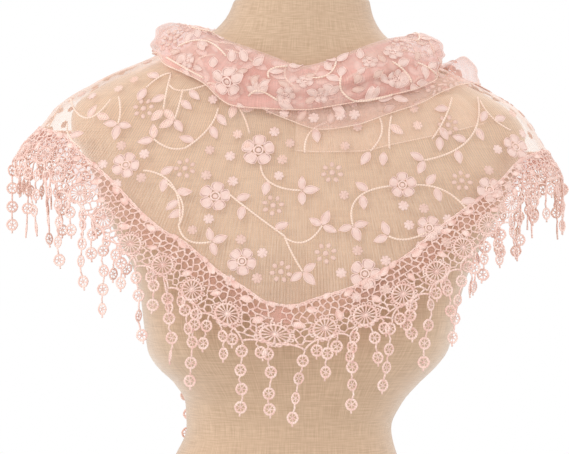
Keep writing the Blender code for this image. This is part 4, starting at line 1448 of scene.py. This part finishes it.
CHEST_STEMS = (
    ((-61, 98), (-53, 109), (-47, 126), (0.1, -0.35)),
    ((-37, 155), (-27, 171), (-1, 177), (0.4,), 3),
    ((-65, 180), (-42, 198), (-16, 217), (-0.15, 0.3, -0.85)),
    ((-16, 217), (-9, 233), (0, 248), (), 3),
    ((-15, 219), (2, 222), (17, 208), (), 3),
    ((-120, 170), (-106, 188), (-109, 208), (-0.25, 0.65)),
    ((-109, 207), (-100, 221), (-80, 222), (), 3),
    ((-75, 103), (-84, 122), (-104, 139), (-0.15, -0.45, 0.85)),
    ((-104, 139), (-118, 139), (-132, 131), (), 2),
    ((22, 116), (6, 126), (2, 144), (-0.3,)),
    ((77, 173), (48, 184), (44, 208), (0.3, -0.42), 3),
    ((100, 172), (125, 177), (145, 194), (-0.2, 0.35, -0.85)),
    ((158, 92), (149, 130), (108, 150), (-0.35, 0.55, -0.7), 2),
    ((160, 95), (171, 111), (188, 122), (0.3, -0.6)),
    ((68, 111), (70, 126), (60, 142), (), 1),
    ((79, 110), (77, 124), (77, 140), (-0.3,)),
    ((134, 93), (127, 112), (115, 131), (0.25, -0.7)),
    ((108, 214), (90, 220), (75, 217), (), 2),
    ((-211, 92), (-194, 111), (-172, 94), (-0.55, 0.72)),
    ((-165, 92), (-163, 105), (-165, 117), (), 3),
    ((-118, 72), (-122, 90), (-124, 104), (0.55,), 2),
    ((-107, 86), (-110, 100), (-114, 113), (-0.4,), 2),
    ((-119, 82), (-107, 87), (-84, 81), (0.7,), 1),
    ((-118, 71), (-128, 74), (-140, 84), (0.5,), 1),
    ((-141, 159), (-115, 172), (-108, 205), (-0.25, 0.35, -0.62, 0.75)),
    ((-212, 116), (-209, 128), (-197, 139), (-0.5,)),
)
CHEST_MOTIFS = {
    Motif.FLOWER: (
        (-39, 141, 4, 1.02), (-77, 182, 12, 0.96), (-53, 239, 30, 0.88), (54, 250, 20, 0.95),
        (88, 172, 0, 0.86), (111, 210, 25, 0.82), (192, 137, 10, 0.9), (-157, 154, 20, 0.88),
        (166, 176, 40, 0.85)),
    Motif.DOTS: ((-104, 157, 10), (-26, 190, 30), (26, 161), (20, 232, 20), (-19, 248, 5),
                 (130, 118, 15), (141, 168), (-142, 103, 25)),
    Motif.LEAF: ((122, 128, 90, 0.9), (72, 142, 95, 0.9)),
}
COWL_STEMS = (
    ((-112, 47), (-88, 42), (-68, 57), (-0.15, 0.4)),
    ((-122, 56), (-106, 66), (-88, 76), (-0.3, 0.6)),
    ((-30, 77), (-28, 69), (-13, 66), (0.3,), 1),
    ((-48, 93), (-38, 88), (-22, 97), (-0.5,), 1),
    ((8, 77), (23, 74), (30, 62), (0.4, -0.7), 2),
    ((34, 76), (35, 89), (47, 97), (0.3,), 1),
    ((47, 97), (62, 96), (80, 91), (-0.5,)),
    ((80, 62), (91, 70), (97, 80), (-0.2, 0.5, 0.75), 1),
    ((103, 62), (112, 66), (120, 72), (0.3, -0.6)),
)
COWL_MOTIFS = {
    Motif.FLOWER: ((-67, 80, 6, 0.98), (-15, 92, 20, 0.6), (2, 80, 40, 0.55), (83, 77, 10, 0.6),
                   (81, 53, 30, 0.62), (60, 62, 0, 0.5), (-103, 60, 15, 0.5), (16, 92, 0, 0.5)),
    Motif.LEAF: (
        (-63, 63, -92), (-50, 63, -112), (-45, 66, -30), (-98, 66, 10, 0.7), (-79, 68, -100, 0.9),
        (-93, 43, 25, 0.7), (-50, 84, 30, 0.9), (-43, 78, 80, 0.7), (-72, 99, 110, 0.8),
        (-58, 98, 60, 0.8), (36, 66, 100, 0.95), (52, 60, -95, 0.9), (17, 84, 20, 0.9),
        (62, 83, 95, 1.1), (114, 56, -80, 0.8), (101, 80, 0, 0.8), (70, 72, 60, 0.8),
        (3, 88, 20, 0.8), (-30, 84, 150, 0.8), (48, 74, -40, 0.7)),
}
TURN_MOTIFS = {Motif.BLOSSOM: ((33, 110), (46, 109), (10, 112), (88, 84)),
               Motif.LEAF: ((66, 96, -10, 0.9), (80, 93, 20, 0.9))}


@dataclass
class FrontNet:
    """The net from the cowl to the lace, and the crescent below it."""

    finishes: Finishes
    columns: int = 420
    rows: int = 46

    def __post_init__(self) -> None:
        """Reads the cloth, by direction and drop."""
        self.sheet = Sheet(on_cloth, np.linspace(-179.5, 179.5, 900), np.linspace(40.0, 330.0, 260))

    def ground(self) -> tuple[Object, float]:
        """The net with drag lines below the cowl, and its area."""
        angles = np.linspace(HEM.stops[0], HEM.stops[-1], self.columns)
        shares = np.linspace(0, 1, self.rows)
        a, s = crossed(angles, shares)
        top = NET_TOP(a)
        drops = top + (HEM(a) - top) * s
        drag = np.sin(np.radians(a) * 19.0 + 2.0 * np.sin(np.radians(a) * 5.0))
        lift = 1.3 * drag * np.exp(-((drops - top - 28.0) / 32.0) ** 2) * np.cos(np.radians(a) / 2)
        relief = cloth_grid(self.sheet, a, drops, lift)
        net = Piece("net_panel", Slot.NET, self.finishes.net, ("front_panel",)).cast(relief)
        return net, surface_area(relief)

    def under(self) -> Cloth:
        """The crescent of a second layer and its rolled hem."""
        table = (-4, 10, 28, 42, 57, 70)
        top = Curve(table, (108, 108, 106, 101, 95, 88))
        edge = Curve(table, (142, 143, 142.5, 136, 127, 116))

        def place(angle: Array, share: Array) -> Array:
            """A place on the layer."""
            drop = top(angle) + (edge(angle) - top(angle)) * share
            return point_at(FORM.reach(angle, drop + 1.0) + UNDER_CLEARANCE, angle, drop)

        sheet = Sheet(place, np.linspace(-4.0, 70.0, 75), np.linspace(0, 1, 21))
        relief = cloth_grid(sheet, *sheet.grid())
        hem = Embroidery(sheet)
        hem.stem(stacked(np.linspace(-3.0, 69.0, 60), 0.98), radius=0.4)
        layer = Piece("net_under_layer", Slot.NET, self.finishes.net, ("under_layer",)).cast(relief)
        return Cloth(layer, surface_area(relief), hem.pieces("under_layer_hem", self.finishes))

    def embroidery(self) -> list[Object]:
        """The chest's chart, the back's sprigs and small blossoms."""
        work = Embroidery(self.sheet)
        work.chart(CHEST_STEMS, CHEST_MOTIFS)
        work.ring_flowers()

        def on_net(angle: float, drop: float) -> bool:
            """Whether a place is between the cowl and the lace."""
            cowl = smooth_through(COWL.angle, COWL.drop[3], np.array(angle))
            return float(cowl) - 2.0 < drop < float(HEM(np.array(angle))) - 5.0

        for seed, limits in ((3, (88.0, 172.0)), (4, (-172.0, -88.0))):
            work.scatter(seed, 200, limits, (58.0, 100.0), (1.6, 2.6, 1.0, 1.0), 0.9, on_net)
        work.scatter(11, 900, (-174.0, 174.0), (56.0, 268.0), (0.0, 0.0, 0.03, 1.0), 1.0, on_net)
        return work.pieces("net_embroidery", self.finishes)


@dataclass
class NeckTurns:
    """The cowl's two stretches and the second turn on the shoulder."""

    finishes: Finishes
    rows: int = 44
    columns: int = 190
    fold_inside: float = 2.6
    bare_ends: float = 17.0
    side_reach: float = 110.0

    def stretch(self, name: str, turn: Turn, angles: Pair, nodes: tuple[str, ...],
                material: Material, work: tuple, inward: float = 0.0) -> Cloth:
        """One stretch of a turn.

        Args:
            name: The piece's name.
            turn: The turn.
            angles: Where the stretch starts and ends.
            nodes: The solid that it stands for, if there is one.
            material: Its finish.
            work: Its embroidery's name, seed, tries and chart.
            inward: How far inside the turn it lies.

        Returns:
            The stretch.
        """
        def by_length(angle: Array, share: Array) -> Array:
            """A place on the turn whose share runs by length."""
            fine = np.linspace(0, 1, 140)
            steps = np.diff(turn.place(angle[:, :1], fine, inward), axis=1)
            runs = np.insert(np.cumsum(np.linalg.norm(steps, axis=-1), axis=1), 0, 0.0, axis=1)
            shares = [np.interp(row * run[-1], run, fine) for row, run in zip(share, runs)]
            return turn.place(angle, np.array(shares), inward)

        sheet = Sheet(by_length, np.linspace(*angles, self.columns), np.linspace(0, 1, self.rows))
        relief = cloth_grid(sheet, *sheet.grid())
        net = Piece(name, Slot.NET, material, nodes).cast(relief)
        return Cloth(net, surface_area(relief), self.work(sheet, *work))

    def work(self, sheet: Sheet, name: str, seed: int, tries: int, chart: tuple = ((), {})) -> list[Object]:
        """A chart and more motifs on a stretch, and its rolled hem."""
        work = Embroidery(sheet, lift=0.4)
        work.chart(*chart)
        limits = (float(sheet.u[0]) + 3.0, float(sheet.u[-1]) - 3.0)

        def off_ends(angle: float, share: float) -> bool:
            """Whether a place is clear of the rounded ends."""
            return abs(abs(angle if angle < 180.0 else angle - 360.0) - 88.0) > self.bare_ends

        work.scatter(seed, tries, limits, (0.26, 0.92), (1.6, 3.0, 0.3, 0.2), 1.0, off_ends)
        work.scatter(seed, tries, limits, (0.34, 0.92), (0.0, 0.0, 0.0, 1.0, 2.0), 0.95, off_ends)
        work.stem(stacked(np.linspace(*limits, 90), 0.985), radius=0.42)
        return work.pieces(name, self.finishes)

    def build(self) -> list[Cloth]:
        """The cowl's front, the fold inside it, its back and the second turn."""
        front, finishes = (-COWL_SPLIT, COWL_SPLIT), self.finishes
        start = COWL_SPLIT + math.degrees(SEAM_GAP / self.side_reach)
        return [
            self.stretch("net_cowl_front", COWL, front, ("cowl_front",), finishes.net_folded,
                         ("cowl_embroidery_front", 71, 900, (COWL_STEMS, COWL_MOTIFS))),
            self.stretch("net_cowl_front_inner_fold", COWL, front, (), finishes.net_inner,
                         ("cowl_embroidery_inner", 74, 500), self.fold_inside),
            self.stretch("net_cowl_back", COWL.behind(), (start, 360.0 - start), ("cowl_back",),
                         finishes.net_folded, ("cowl_embroidery_back", 72, 600)),
            self.stretch("net_shoulder_turn", SHOULDER_TURN, (-24.0, 172.0), ("shoulder_turn",),
                         finishes.net_double,
                         ("shoulder_turn_embroidery", 73, 400, ((), TURN_MOTIFS))),
        ]


@dataclass
class NapeKnot:
    """The knot of net at the nape, with the wraps that pull it tight."""

    finishes: Finishes
    shape: KnotShape = KnotShape()
    around: int = 120
    along: int = 96
    fold_depth: float = 4.2
    band: float = 10.0

    def build(self) -> Object:
        """The knot as a closed pad, flat where it rests."""
        t = (np.arange(self.along) + 0.5) / self.along * math.pi
        tt, ff = crossed(t, whole_turn(self.around))
        half_x, half_y, _ = self.shape.radii
        x = -half_x * np.cos(tt)
        gathers = np.sin(ff * 5.0 + 0.05 * x * np.sin(ff)) + 0.5 * np.sin(ff * 9.0 + 0.11 * x + 1.0)
        wraps = 0.8 * np.sin(0.95 * x + 1.4 * np.sin(ff + 0.6))
        beyond = 1.0 / (1.0 + np.exp((self.band - np.abs(x)) / 0.7))
        folds = self.fold_depth * (np.abs(gathers / 1.5) ** 0.6 - 1.0) * beyond
        pulled = -3.4 * np.exp(-(((np.abs(x) - self.band) / 1.9) ** 2))
        swell = (folds + (wraps - 0.8) * (1.0 - beyond) + pulled) * np.sin(tt) ** 0.5
        y = KNOT_REACH + (half_y * np.sin(tt) + np.minimum(swell, 0.0)) * np.cos(ff)
        height = self.shape.half_height(x) + swell * 0.6
        drop = self.shape.middle_drop - np.minimum(height, self.shape.half_height(x)) * np.sin(ff)
        angle = 180.0 - np.degrees(np.arctan2(x, y))
        angle = np.where(angle > 180.0, angle - 360.0, angle)
        rest = cloth_reach(angle, drop) + self.shape.clearance
        y = np.maximum(np.maximum(y, rest), self.shape.rest)
        loops = stacked(x, y, NECK_TOP - drop)
        middle = NECK_TOP - self.shape.middle_drop
        tips = np.array([[-half_x, KNOT_REACH, middle], [half_x, KNOT_REACH, middle]])
        knot = Piece("net_knot", Slot.NET, self.finishes.net_gathered, ("nape_knot",))
        return knot.cast(loft(loops, tips, stacked(x, half_y * ff)))


# ---- guipure lace
@dataclass
class GuipureBand:
    """Guipure lace: along the seam, out from it, and raised."""

    length: float
    seed: int
    phase: float = 0.0
    first_wheel: int = 0
    cord_radius: float = 0.62
    cell: float = 6.3
    cell_rows: int = 6
    thread: float = 0.72
    wheel_out: float = 28.3
    wheel_radius: float = 8.6
    rim_radius: float = 11.2
    spokes: int = 14

    def __post_init__(self) -> None:
        """Fits whole repeats to the length."""
        self.repeats = max(1, round(self.length / REPEAT))
        self.pitch = self.length / self.repeats
        self.random = np.random.default_rng(self.seed)
        wheels = (np.arange(self.repeats) + self.phase) * self.pitch
        self.wheels = wheels[wheels < self.length - 5.0]

    def cords(self) -> Relief:
        """The double cord along the seam."""
        along = np.linspace(0.3, self.length - 0.3, self.repeats * 12)
        paths = [stacked(along, out + 0.25 * np.sin(along / beat * math.tau), lift)
                 for out, lift, beat in ((0.55, 0.35, 5.1), (1.75, 0.1, 4.3))]
        return threads(np.array(paths), self.cord_radius, 6)

    def trellis(self) -> Relief:
        """Uneven six-sided holes between the cord, wheels and edge."""
        half, side = self.cell / 2, self.cell / math.sqrt(3.0)
        column, row = crossed(np.arange(-1, self.length / self.cell + 1), np.arange(self.cell_rows))
        middle = stacked((column + row % 2 / 2) * self.cell, 4.7 + row * 1.5 * side)
        corner = np.array([(0, -1), (1, -0.5), (1, 0.5), (0, 1), (-1, 0.5), (-1, -0.5)])
        keys = np.round((middle.reshape(-1, 1, 2) / (half, side) + corner) * 2).reshape(-1, 2)
        nodes, index = np.unique(keys, axis=0, return_inverse=True)
        index = index.reshape(-1, 6)
        nodes = nodes / 2 * (half, side) + self.random.normal(0.0, 0.8, nodes.shape)
        nodes[:, 1] = np.maximum(nodes[:, 1], 1.8)
        wheel = np.abs(nodes[:, :1] - self.wheels).argmin(axis=1)
        spoke = nodes - stacked(self.wheels[wheel], self.wheel_out)
        far = np.linalg.norm(spoke, axis=1)
        inside = far < self.rim_radius + 0.4
        nodes -= np.where(inside, 1.0 - (self.rim_radius - 0.5) / far, 0.0)[:, None] * spoke
        pairs = np.sort(stacked(index, np.roll(index, 1, axis=1)).reshape(-1, 2))
        pairs = np.unique(pairs, axis=0)
        start, end = nodes[pairs[:, 0]], nodes[pairs[:, 1]]
        kept = ~inside[pairs].all(axis=1) & (np.minimum(start, end)[:, 0] > 0.2)
        kept &= (np.maximum(start, end)[:, 0] < self.length - 0.2) & (start + end > 3.8)[:, 1]
        start, end = start[kept], end[kept]
        t = np.array([0.0, 0.5, 1.0])[:, None]
        paths = start[:, None] + (end - start)[:, None] * t
        lift = self.random.uniform(-0.2, 0.25, (len(paths), 1)) * np.array([0.0, 1.0, 0.0])
        paths = np.concatenate([paths, lift[..., None]], axis=-1)
        radius = self.thread * self.random.uniform(0.75, 1.25, (len(paths), 1))
        return threads(paths, radius * np.array([1.2, 0.9, 1.2]))

    def wheel_parts(self) -> Relief:
        """Wheels with a hub, spokes, a rim and a ring of loops."""
        ring, turn = whole_turn(28), whole_turn(self.spokes)[:, None]
        rim = round_at(self.wheel_radius, ring)
        spokes = round_at(np.array([1.2, 4.2, self.wheel_radius]), turn, (0.7, 0.4, 0.15))
        half = (self.rim_radius - self.wheel_radius) / 2
        middles = round_at(self.wheel_radius + half, turn + math.pi / self.spokes)
        loops = middles + round_at(half, ring[::4] + 0.2)
        wheel = joined([threads(rim[None], 0.9, closed=True),
            threads(spokes, np.array([0.42, 0.55, 0.95]), 4), threads(loops, 0.66, 4, closed=True),
            dot(1.6, 1.2)])
        places = self.wheels[self.first_wheel:]
        turns = self.random.uniform(0.0, 0.4, len(places))[:, None]
        x, y, z = wheel.points.T
        c, s = np.cos(turns), np.sin(turns)
        return wheel.copies(stacked(places[:, None] + x * c - y * s, self.wheel_out + x * s + y * c, z))

    def edge(self, along: Array | float) -> Array:
        """How far out the scalloped edge is, at places along the seam."""
        roots = self.scallop_roots()
        low = np.where(np.abs(roots[:, None] - self.wheels).min(axis=1) < 4.0, 39.8, 41.6)
        share = np.clip((along - roots[0]) / (self.pitch / 2), 0.0, len(roots) - 1.0) % 1.0
        return np.interp(along, roots, low) - np.sin(math.pi * share) ** 0.7 * 4.6

    def scallop_roots(self) -> Array:
        """Where two scallops meet: below each wheel, and between two of them."""
        return (np.arange(2 * self.repeats + 1) + 2 * self.phase % 1) * self.pitch / 2

    def scallops(self) -> Relief:
        """The cord of the scalloped edge."""
        roots, t = self.scallop_roots(), np.linspace(0, 1, 9)
        between = roots[:-1, None] * (1 - t) + roots[1:, None] * t
        along = np.clip(between, 0.3, self.length - 0.3)
        return threads(stacked(along, self.edge(between), 0.25), 0.85)

    def petals(self) -> Relief:
        """Solid petals of satin stitch in the trellis."""
        leaf = SHAPES[Motif.LEAF]
        wheels = np.repeat(self.wheels, 3)[:, None]
        rows = np.tile([(11.0, 15.5, 62.0, 0.66), (-9.0, 5.5, 12.0, 0.72), (4.0, 3.6, -20.0, 0.6)],
            (len(self.wheels), 1))
        rows = rows + self.random.uniform(-1.0, 1.0, rows.shape) * (3.0, 1.4, 40.0, 0.08)
        x, y, z = leaf.points.T
        c, s = np.cos(np.radians(rows[:, 2:3])), np.sin(np.radians(rows[:, 2:3]))
        points = stacked(wheels + rows[:, :1] + (c * x - s * y) * rows[:, 3:],
            rows[:, 1:2] + (s * x + c * y) * rows[:, 3:], z + 0.5)
        inside = (points[:, :, 0].min(axis=1) > 1.0) & (points[:, :, 0].max(axis=1) < self.length)
        return leaf.copies(points[inside])

    def flat(self) -> Relief:
        """The whole band, flat."""
        return joined([self.cords(), self.trellis(), self.wheel_parts(), self.scallops(), self.petals()])

    def sewn(self, sheet: Sheet, piece: Piece) -> Object:
        """Lays the band onto its sheet and casts it."""
        relief = self.flat()
        return piece.cast(relief.moved(sheet.lay(relief.points), sheet.handed < 0))


@dataclass
class MedallionFringe:
    """Chains of medallions that hang from a band's edge."""

    sheet: Sheet
    edge: Callable[[float], Array]
    roots: Array
    seed: int
    counts: tuple[int, ...] = (4, 2)
    diameter: float = 11.2
    pitch: float = 16.5
    first: float = 9.0
    shifts: Row = (0.0,)
    outward: Array | None = None

    def medallion(self) -> Relief:
        """A thick ring, a hub and six spokes."""
        radius = self.diameter / 2
        turn, spoke = whole_turn(18), whole_turn(6)[:, None] + 0.3
        ring = round_at(radius - 1.05 + 0.16 * np.cos(6 * turn), turn)
        spokes = round_at(np.array([0.6, 2.4, radius - 1.2]), spoke, (0.25, 0.1, 0.0))
        return joined([threads(ring[None], 1.0, 6, flat=0.62, closed=True),
            threads(spokes, np.array([0.62, 0.45, 0.6]), 4), dot(1.25, 0.75, 7)])

    def clear_of_form(self, point: Array, closest: float) -> Array:
        """The point, moved out where the form would be in its way."""
        x, y, z = point
        reach, angle = math.hypot(x, y), math.degrees(math.atan2(x, -y))
        least = float(form_reach(np.array(angle), np.array(NECK_TOP - z))) + closest
        scale = max(1.0, least / reach)
        return np.array([x * scale, y * scale, z])

    def strand(self, number: int, root: float, random: np.random.Generator
               ) -> tuple[list[Array], list[Array], Array]:
        """Hangs one chain.

        Args:
            number: Which strand this is.
            root: Where it hangs, along the band.
            random: The band's random numbers.

        Returns:
            The medallions' axes and middles, their threads, and the way out.
        """
        middle = self.sheet.at(root, float(self.edge(root)) + 0.4, 0.25)
        outward, frames, links = self.outward, [], []
        if outward is None:
            ahead = self.sheet.at(root + 4.0, BORDER_WIDTH) - self.sheet.at(root - 4.0, BORDER_WIDTH)
            outward = unit(np.cross(ahead, [0.0, 0.0, 1.0]))
            outward = outward * np.sign(outward @ (middle * (1.0, 1.0, 0.0)))
        sideways = np.cross([0.0, 0.0, 1.0], outward)
        count = self.counts[number % len(self.counts)]
        shift = outward * self.shifts[number % len(self.shifts)]
        radius, last = self.diameter / 2, middle
        sway, lean = 0.0, random.normal(0.0, 1.7)
        for step in range(count):
            sway += lean + random.normal(0.0, 1.2)
            below = self.first + step * self.pitch + random.normal(0.0, 0.8)
            centre = middle + shift + sideways * sway - np.array([0.0, 0.0, below])
            twist = random.normal(0.0, 24.0)
            if random.random() < 0.1:
                twist += 70.0
            centre = self.clear_of_form(centre, 3.8 + 3.0 * abs(math.sin(math.radians(twist))))
            down = unit(centre - last + random.normal(0.0, 0.6) * sideways)
            turn = math.radians(twist)
            across = sideways * math.cos(turn) + outward * math.sin(turn)
            across = unit(across - down * (across @ down))
            normal = np.cross(across, down)
            frames.append(np.stack([across, down, normal, centre]))
            top = centre - down * (radius - 0.9)
            bow = (last + top) / 2 + sideways * random.normal(0.0, 0.9)
            links.append(np.stack([last, (last + bow) / 2, bow, top]))
            last = centre + down * (radius - 0.9)
        tip = last + np.array([0.0, 0.0, -3.2]) + sideways * random.normal(0.0, 0.4)
        links.append(np.stack([last, last * 0.7 + tip * 0.3, last * 0.3 + tip * 0.7, tip]))
        return frames, links, outward

    def hung(self, piece: Piece) -> Object:
        """Hangs every chain of the band and casts them."""
        random, one = np.random.default_rng(self.seed), self.medallion()
        strands = [self.strand(number, float(root), random) for number, root in enumerate(self.roots)]
        axes = np.concatenate([frames for frames, _, _ in strands])
        links = np.concatenate([links for _, links, _ in strands])
        ups = np.concatenate([[outward] * len(links) for _, links, outward in strands])[:, None]
        points = np.einsum("nk,mkc->mnc", one.points, axes[:, :3]) + axes[:, None, 3]
        thin = threads(links, np.array([0.95, 0.75, 0.85, 0.8]), 5, ups)
        return piece.cast(joined([one.copies(points), thin]))


@dataclass
class LaceEdge:
    """The guipure and its fringe on the triangle's two sides."""

    finishes: Finishes
    band: HemBand = field(default_factory=HemBand)
    short_of_nape: float = 20.0

    def side(self, side: Side) -> list[Object]:
        """One side's lace, the net turned under it, and its fringe."""
        name, length, left = side.name.lower(), self.band.length(side), side is Side.LEFT
        sheet = Sheet(self.band.place(side), np.linspace(-14.0, length, int(length) + 14),
            np.linspace(-1.0, 46.0, 60))
        flat = GuipureBand(length, 20 + side.value, first_wheel=0 if left else 1)
        lace = flat.sewn(sheet, self.finishes.lace(f"lace_border_{name}", f"border_{name}"))
        along, out = crossed(np.linspace(-12.0, length, 340), np.linspace(0.5, 19.0, 7))
        hem = out + 0.12 * out * np.sin(along * 0.21) * np.cos(along * 0.057)
        turned = Piece(f"net_turned_edge_{name}", Slot.NET, self.finishes.net_edge).cast(
            cloth_grid(sheet, along, hem, -1.0 - 0.5 * np.sin(along * 0.3)))
        roots, counts = [], []
        front, beside, back = RIGHT_SHOULDER
        for number in range(2 * flat.repeats):
            root = number * flat.pitch / 2 if number else 3.0
            x, y, _ = sheet.at(root, BORDER_WIDTH)
            direction = math.degrees(math.atan2(x, -y))
            count = 2 if number % 2 == 0 and number or front < direction < beside else 4
            if (number or left) and root <= length - self.short_of_nape:
                roots.append(root)
                counts.append(min(count, 3) if beside <= direction < back else count)
        roots, counts = np.array(roots), np.array(counts)
        extra = (roots[:-1] + roots[1:]) / 2 + 1.5 * np.sin(roots[1:])
        fringe = MedallionFringe(sheet, flat.edge, np.concatenate([roots, extra]), 40 + side.value,
            (*counts, *(1 + np.arange(len(extra)) % 3 // 2)))
        return [lace, turned, fringe.hung(self.finishes.lace(f"medallion_fringe_{name}", f"fringe_{name}"))]


@dataclass
class HangingEnd:
    """One end of the shawl below the knot: net, lace, fringe and embroidery."""

    finishes: Finishes
    shape: TailShape
    fringe_from: float = 0.34
    shifts: Row = (1.9, -1.9, 4.3, -4.3)

    def build(self) -> Cloth:
        """Builds the end."""
        shape, name = self.shape, self.shape.side.name.lower()
        net_sheet = Sheet(shape.on_net, np.linspace(0, 1, 140), np.linspace(0, 1, 44))
        relief = cloth_grid(net_sheet, *net_sheet.grid())
        net = Piece(f"net_tail_{name}", Slot.NET, self.finishes.net_folded, (f"tail_{name}",)).cast(relief)
        work = Embroidery(net_sheet)
        work.scatter(60 + shape.side.value, 260, (0.1, 0.9), (0.1, 0.9), (1.0, 2.0, 1.0, 3.0), 0.9)
        stitched = work.pieces(f"tail_embroidery_{name}", self.finishes)
        shares, lengths, _, _ = shape.seam()
        length = float(lengths[-1])
        sheet = Sheet(shape.on_band, np.linspace(0.0, length, int(length)), np.linspace(-1.0, 46.0, 60))
        flat = GuipureBand(length, 30 + shape.side.value, phase=0.5)
        lace = flat.sewn(sheet, self.finishes.lace(f"lace_tail_{name}", f"tail_border_{name}"))
        first = float(np.interp(self.fringe_from, shares, lengths))
        roots = (np.arange(2 * flat.repeats) + 0.5) * flat.pitch / 2
        roots = roots[roots > first]
        fringe = MedallionFringe(sheet, flat.edge, roots, 50 + shape.side.value, shifts=self.shifts,
            outward=np.array([0.0, 1.0, 0.0]))
        hung = fringe.hung(self.finishes.lace(f"tail_medallions_{name}", f"tail_fringe_{name}"))
        return Cloth(net, surface_area(relief), [*stitched, lace, hung])


@dataclass
class DressForm:
    """The linen-covered torso, flat at its neck and base."""

    finishes: Finishes
    around: int = 128
    rings: int = 120
    rim: float = 3.0
    girth: float = 140.0

    def build(self) -> Object:
        """The form as one closed skin."""
        drops = np.concatenate([[0.0, 0.0, 0.0, 0.4, 1.2], np.linspace(self.rim, NECK_TOP, self.rings),
            [NECK_TOP, NECK_TOP]])
        scale = np.ones(len(drops))
        scale[:5] = (0.35, 0.75, 0.955, 0.982, 0.994)
        scale[-2:] = (0.7, 0.3)
        angle = 360.0 * np.arange(self.around) / self.around - 180.0
        dd, aa = crossed(drops, angle)
        loops = point_at(form_reach(aa, dd) * scale[:, None], aa, dd)
        tips = np.array([[0.0, 0.0, NECK_TOP], [0.0, 0.0, 0.0]])
        stitch, flat = stacked(np.radians(aa) * self.girth, dd), np.r_[0:5, -2:0]
        stitch[flat] = loops[flat, :, :2]
        form = Piece("linen_form", Slot.LINEN, self.finishes.linen, ("dress_form",))
        return form.cast(loft(loops, tips, stitch))


# ---- studio
@dataclass
class Studio:
    """Floor, soft lights, white surroundings and the camera, in metres."""

    finishes: Finishes
    camera_place: tuple[float, float, float] = (-0.016, -2.6, 0.376)
    view_width: float = 0.5235
    floor_radius: float = 1.3
    ambient: float = 0.72

    def floor(self) -> None:
        """A plain round floor."""
        turn, radii = whole_turn(96), np.array([0.02, 0.4, 0.8, self.floor_radius])
        points = round_at(radii[:, None], turn, -0.0005)
        faces, _ = grid_faces(len(radii), len(turn), wrap=True)
        data = bpy.data.meshes.new("floor")
        data.from_pydata(points.reshape(-1, 3).tolist(), [],
            [*faces[:, ::-1].tolist(), list(range(len(turn)))])
        data.materials.append(self.finishes.floor)
        linked("floor", data)

    def surroundings(self) -> None:
        """White to the camera, and a softer white as light."""
        world = bpy.data.worlds.new("surroundings")
        bpy.context.scene.world = world
        world.use_nodes = True
        nodes, soft = Nodes(world.node_tree), world.node_tree.nodes["Background"]
        nodes.fill(soft, {"Color": (1.0, 0.985, 0.97, 1.0), "Strength": self.ambient})
        white = nodes.add("Background", {"Color": (1.0, 1.0, 1.0, 1.0), "Strength": 1.0})
        seen = nodes.add("LightPath").outputs["Is Camera Ray"]
        mix = nodes.add("MixShader", {0: seen, 1: soft.outputs[0], 2: white.outputs[0]})
        nodes.fill(world.node_tree.nodes["World Output"], {"Surface": mix.outputs[0]})

    def light(self, name: str, place: tuple[float, float, float], size: float, power: float) -> None:
        """A square soft light that faces the chest."""
        data = bpy.data.lights.new(name, "AREA")
        data.shape, data.size, data.energy = "SQUARE", size, power
        lamp = linked(name, data)
        lamp.location = place
        aim = np.array([0.0, 0.0, 0.4]) - np.array(place)
        flat = math.hypot(aim[0], aim[1])
        lamp.rotation_euler = (math.atan2(flat, -aim[2]), 0.0, math.atan2(-aim[0], aim[1]))

    def camera(self) -> None:
        """The camera, level with the chest."""
        data = bpy.data.cameras.new("camera")
        data.sensor_width = 36.0
        data.lens = -self.camera_place[1] * data.sensor_width / self.view_width
        made = linked("camera", data)
        made.location = self.camera_place
        made.rotation_euler = (math.pi / 2, 0.0, 0.0)
        bpy.context.scene.camera = made

    def build(self) -> None:
        """Sets the studio up."""
        self.camera()
        self.floor()
        self.surroundings()
        for row in (("key", (-1.5, -2.0, 1.9), 1.4, 28.0), ("fill", (1.8, -1.9, 2.0), 1.8, 10.0),
                ("left_edge", (-2.3, 0.4, 1.5), 1.2, 14.0), ("right_edge", (2.3, 0.5, 1.5), 1.2, 15.0),
                ("rear", (0.6, 2.2, 1.7), 1.6, 24.0)):
            self.light(*row)
        scene = bpy.context.scene
        scene.view_settings.view_transform = "Standard"
        scene.cycles.transparent_max_bounces = 24


def main() -> None:
    """Builds the shawl and its form in order and reports each piece."""
    logging.basicConfig(level=logging.INFO, format="%(message)s")
    finishes = Finishes()
    Studio(finishes).build()
    DressForm(finishes).build()

    front = FrontNet(finishes)
    (panel, area), under = front.ground(), front.under()
    stitched, edge = front.embroidery(), LaceEdge(finishes)
    trims = [*edge.side(Side.LEFT), *edge.side(Side.RIGHT)]
    cowl, inner, rear, second = NeckTurns(finishes).build()
    knot = NapeKnot(finishes).build()
    left = HangingEnd(finishes, TailShape(Side.LEFT, -1.5, -48.0, 335.0)).build()
    right = HangingEnd(finishes, TailShape(Side.RIGHT, 1.5, 6.0, 222.0)).build()
    left.sewn.append(knot)

    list(stitched)
    under.declare(0.13, Held.LAID, "linen_form")
    for turn, length in ((cowl, 0.42), (inner, 0.42), (rear, 0.36), (second, 0.5)):
        turn.declare(length, Held.FOLDED, "net_panel")
    left.declare(0.335, Held.HUNG, "net_panel")
    right.declare(0.222, Held.HUNG, "net_knot")


if __name__ == "__main__":
    main()
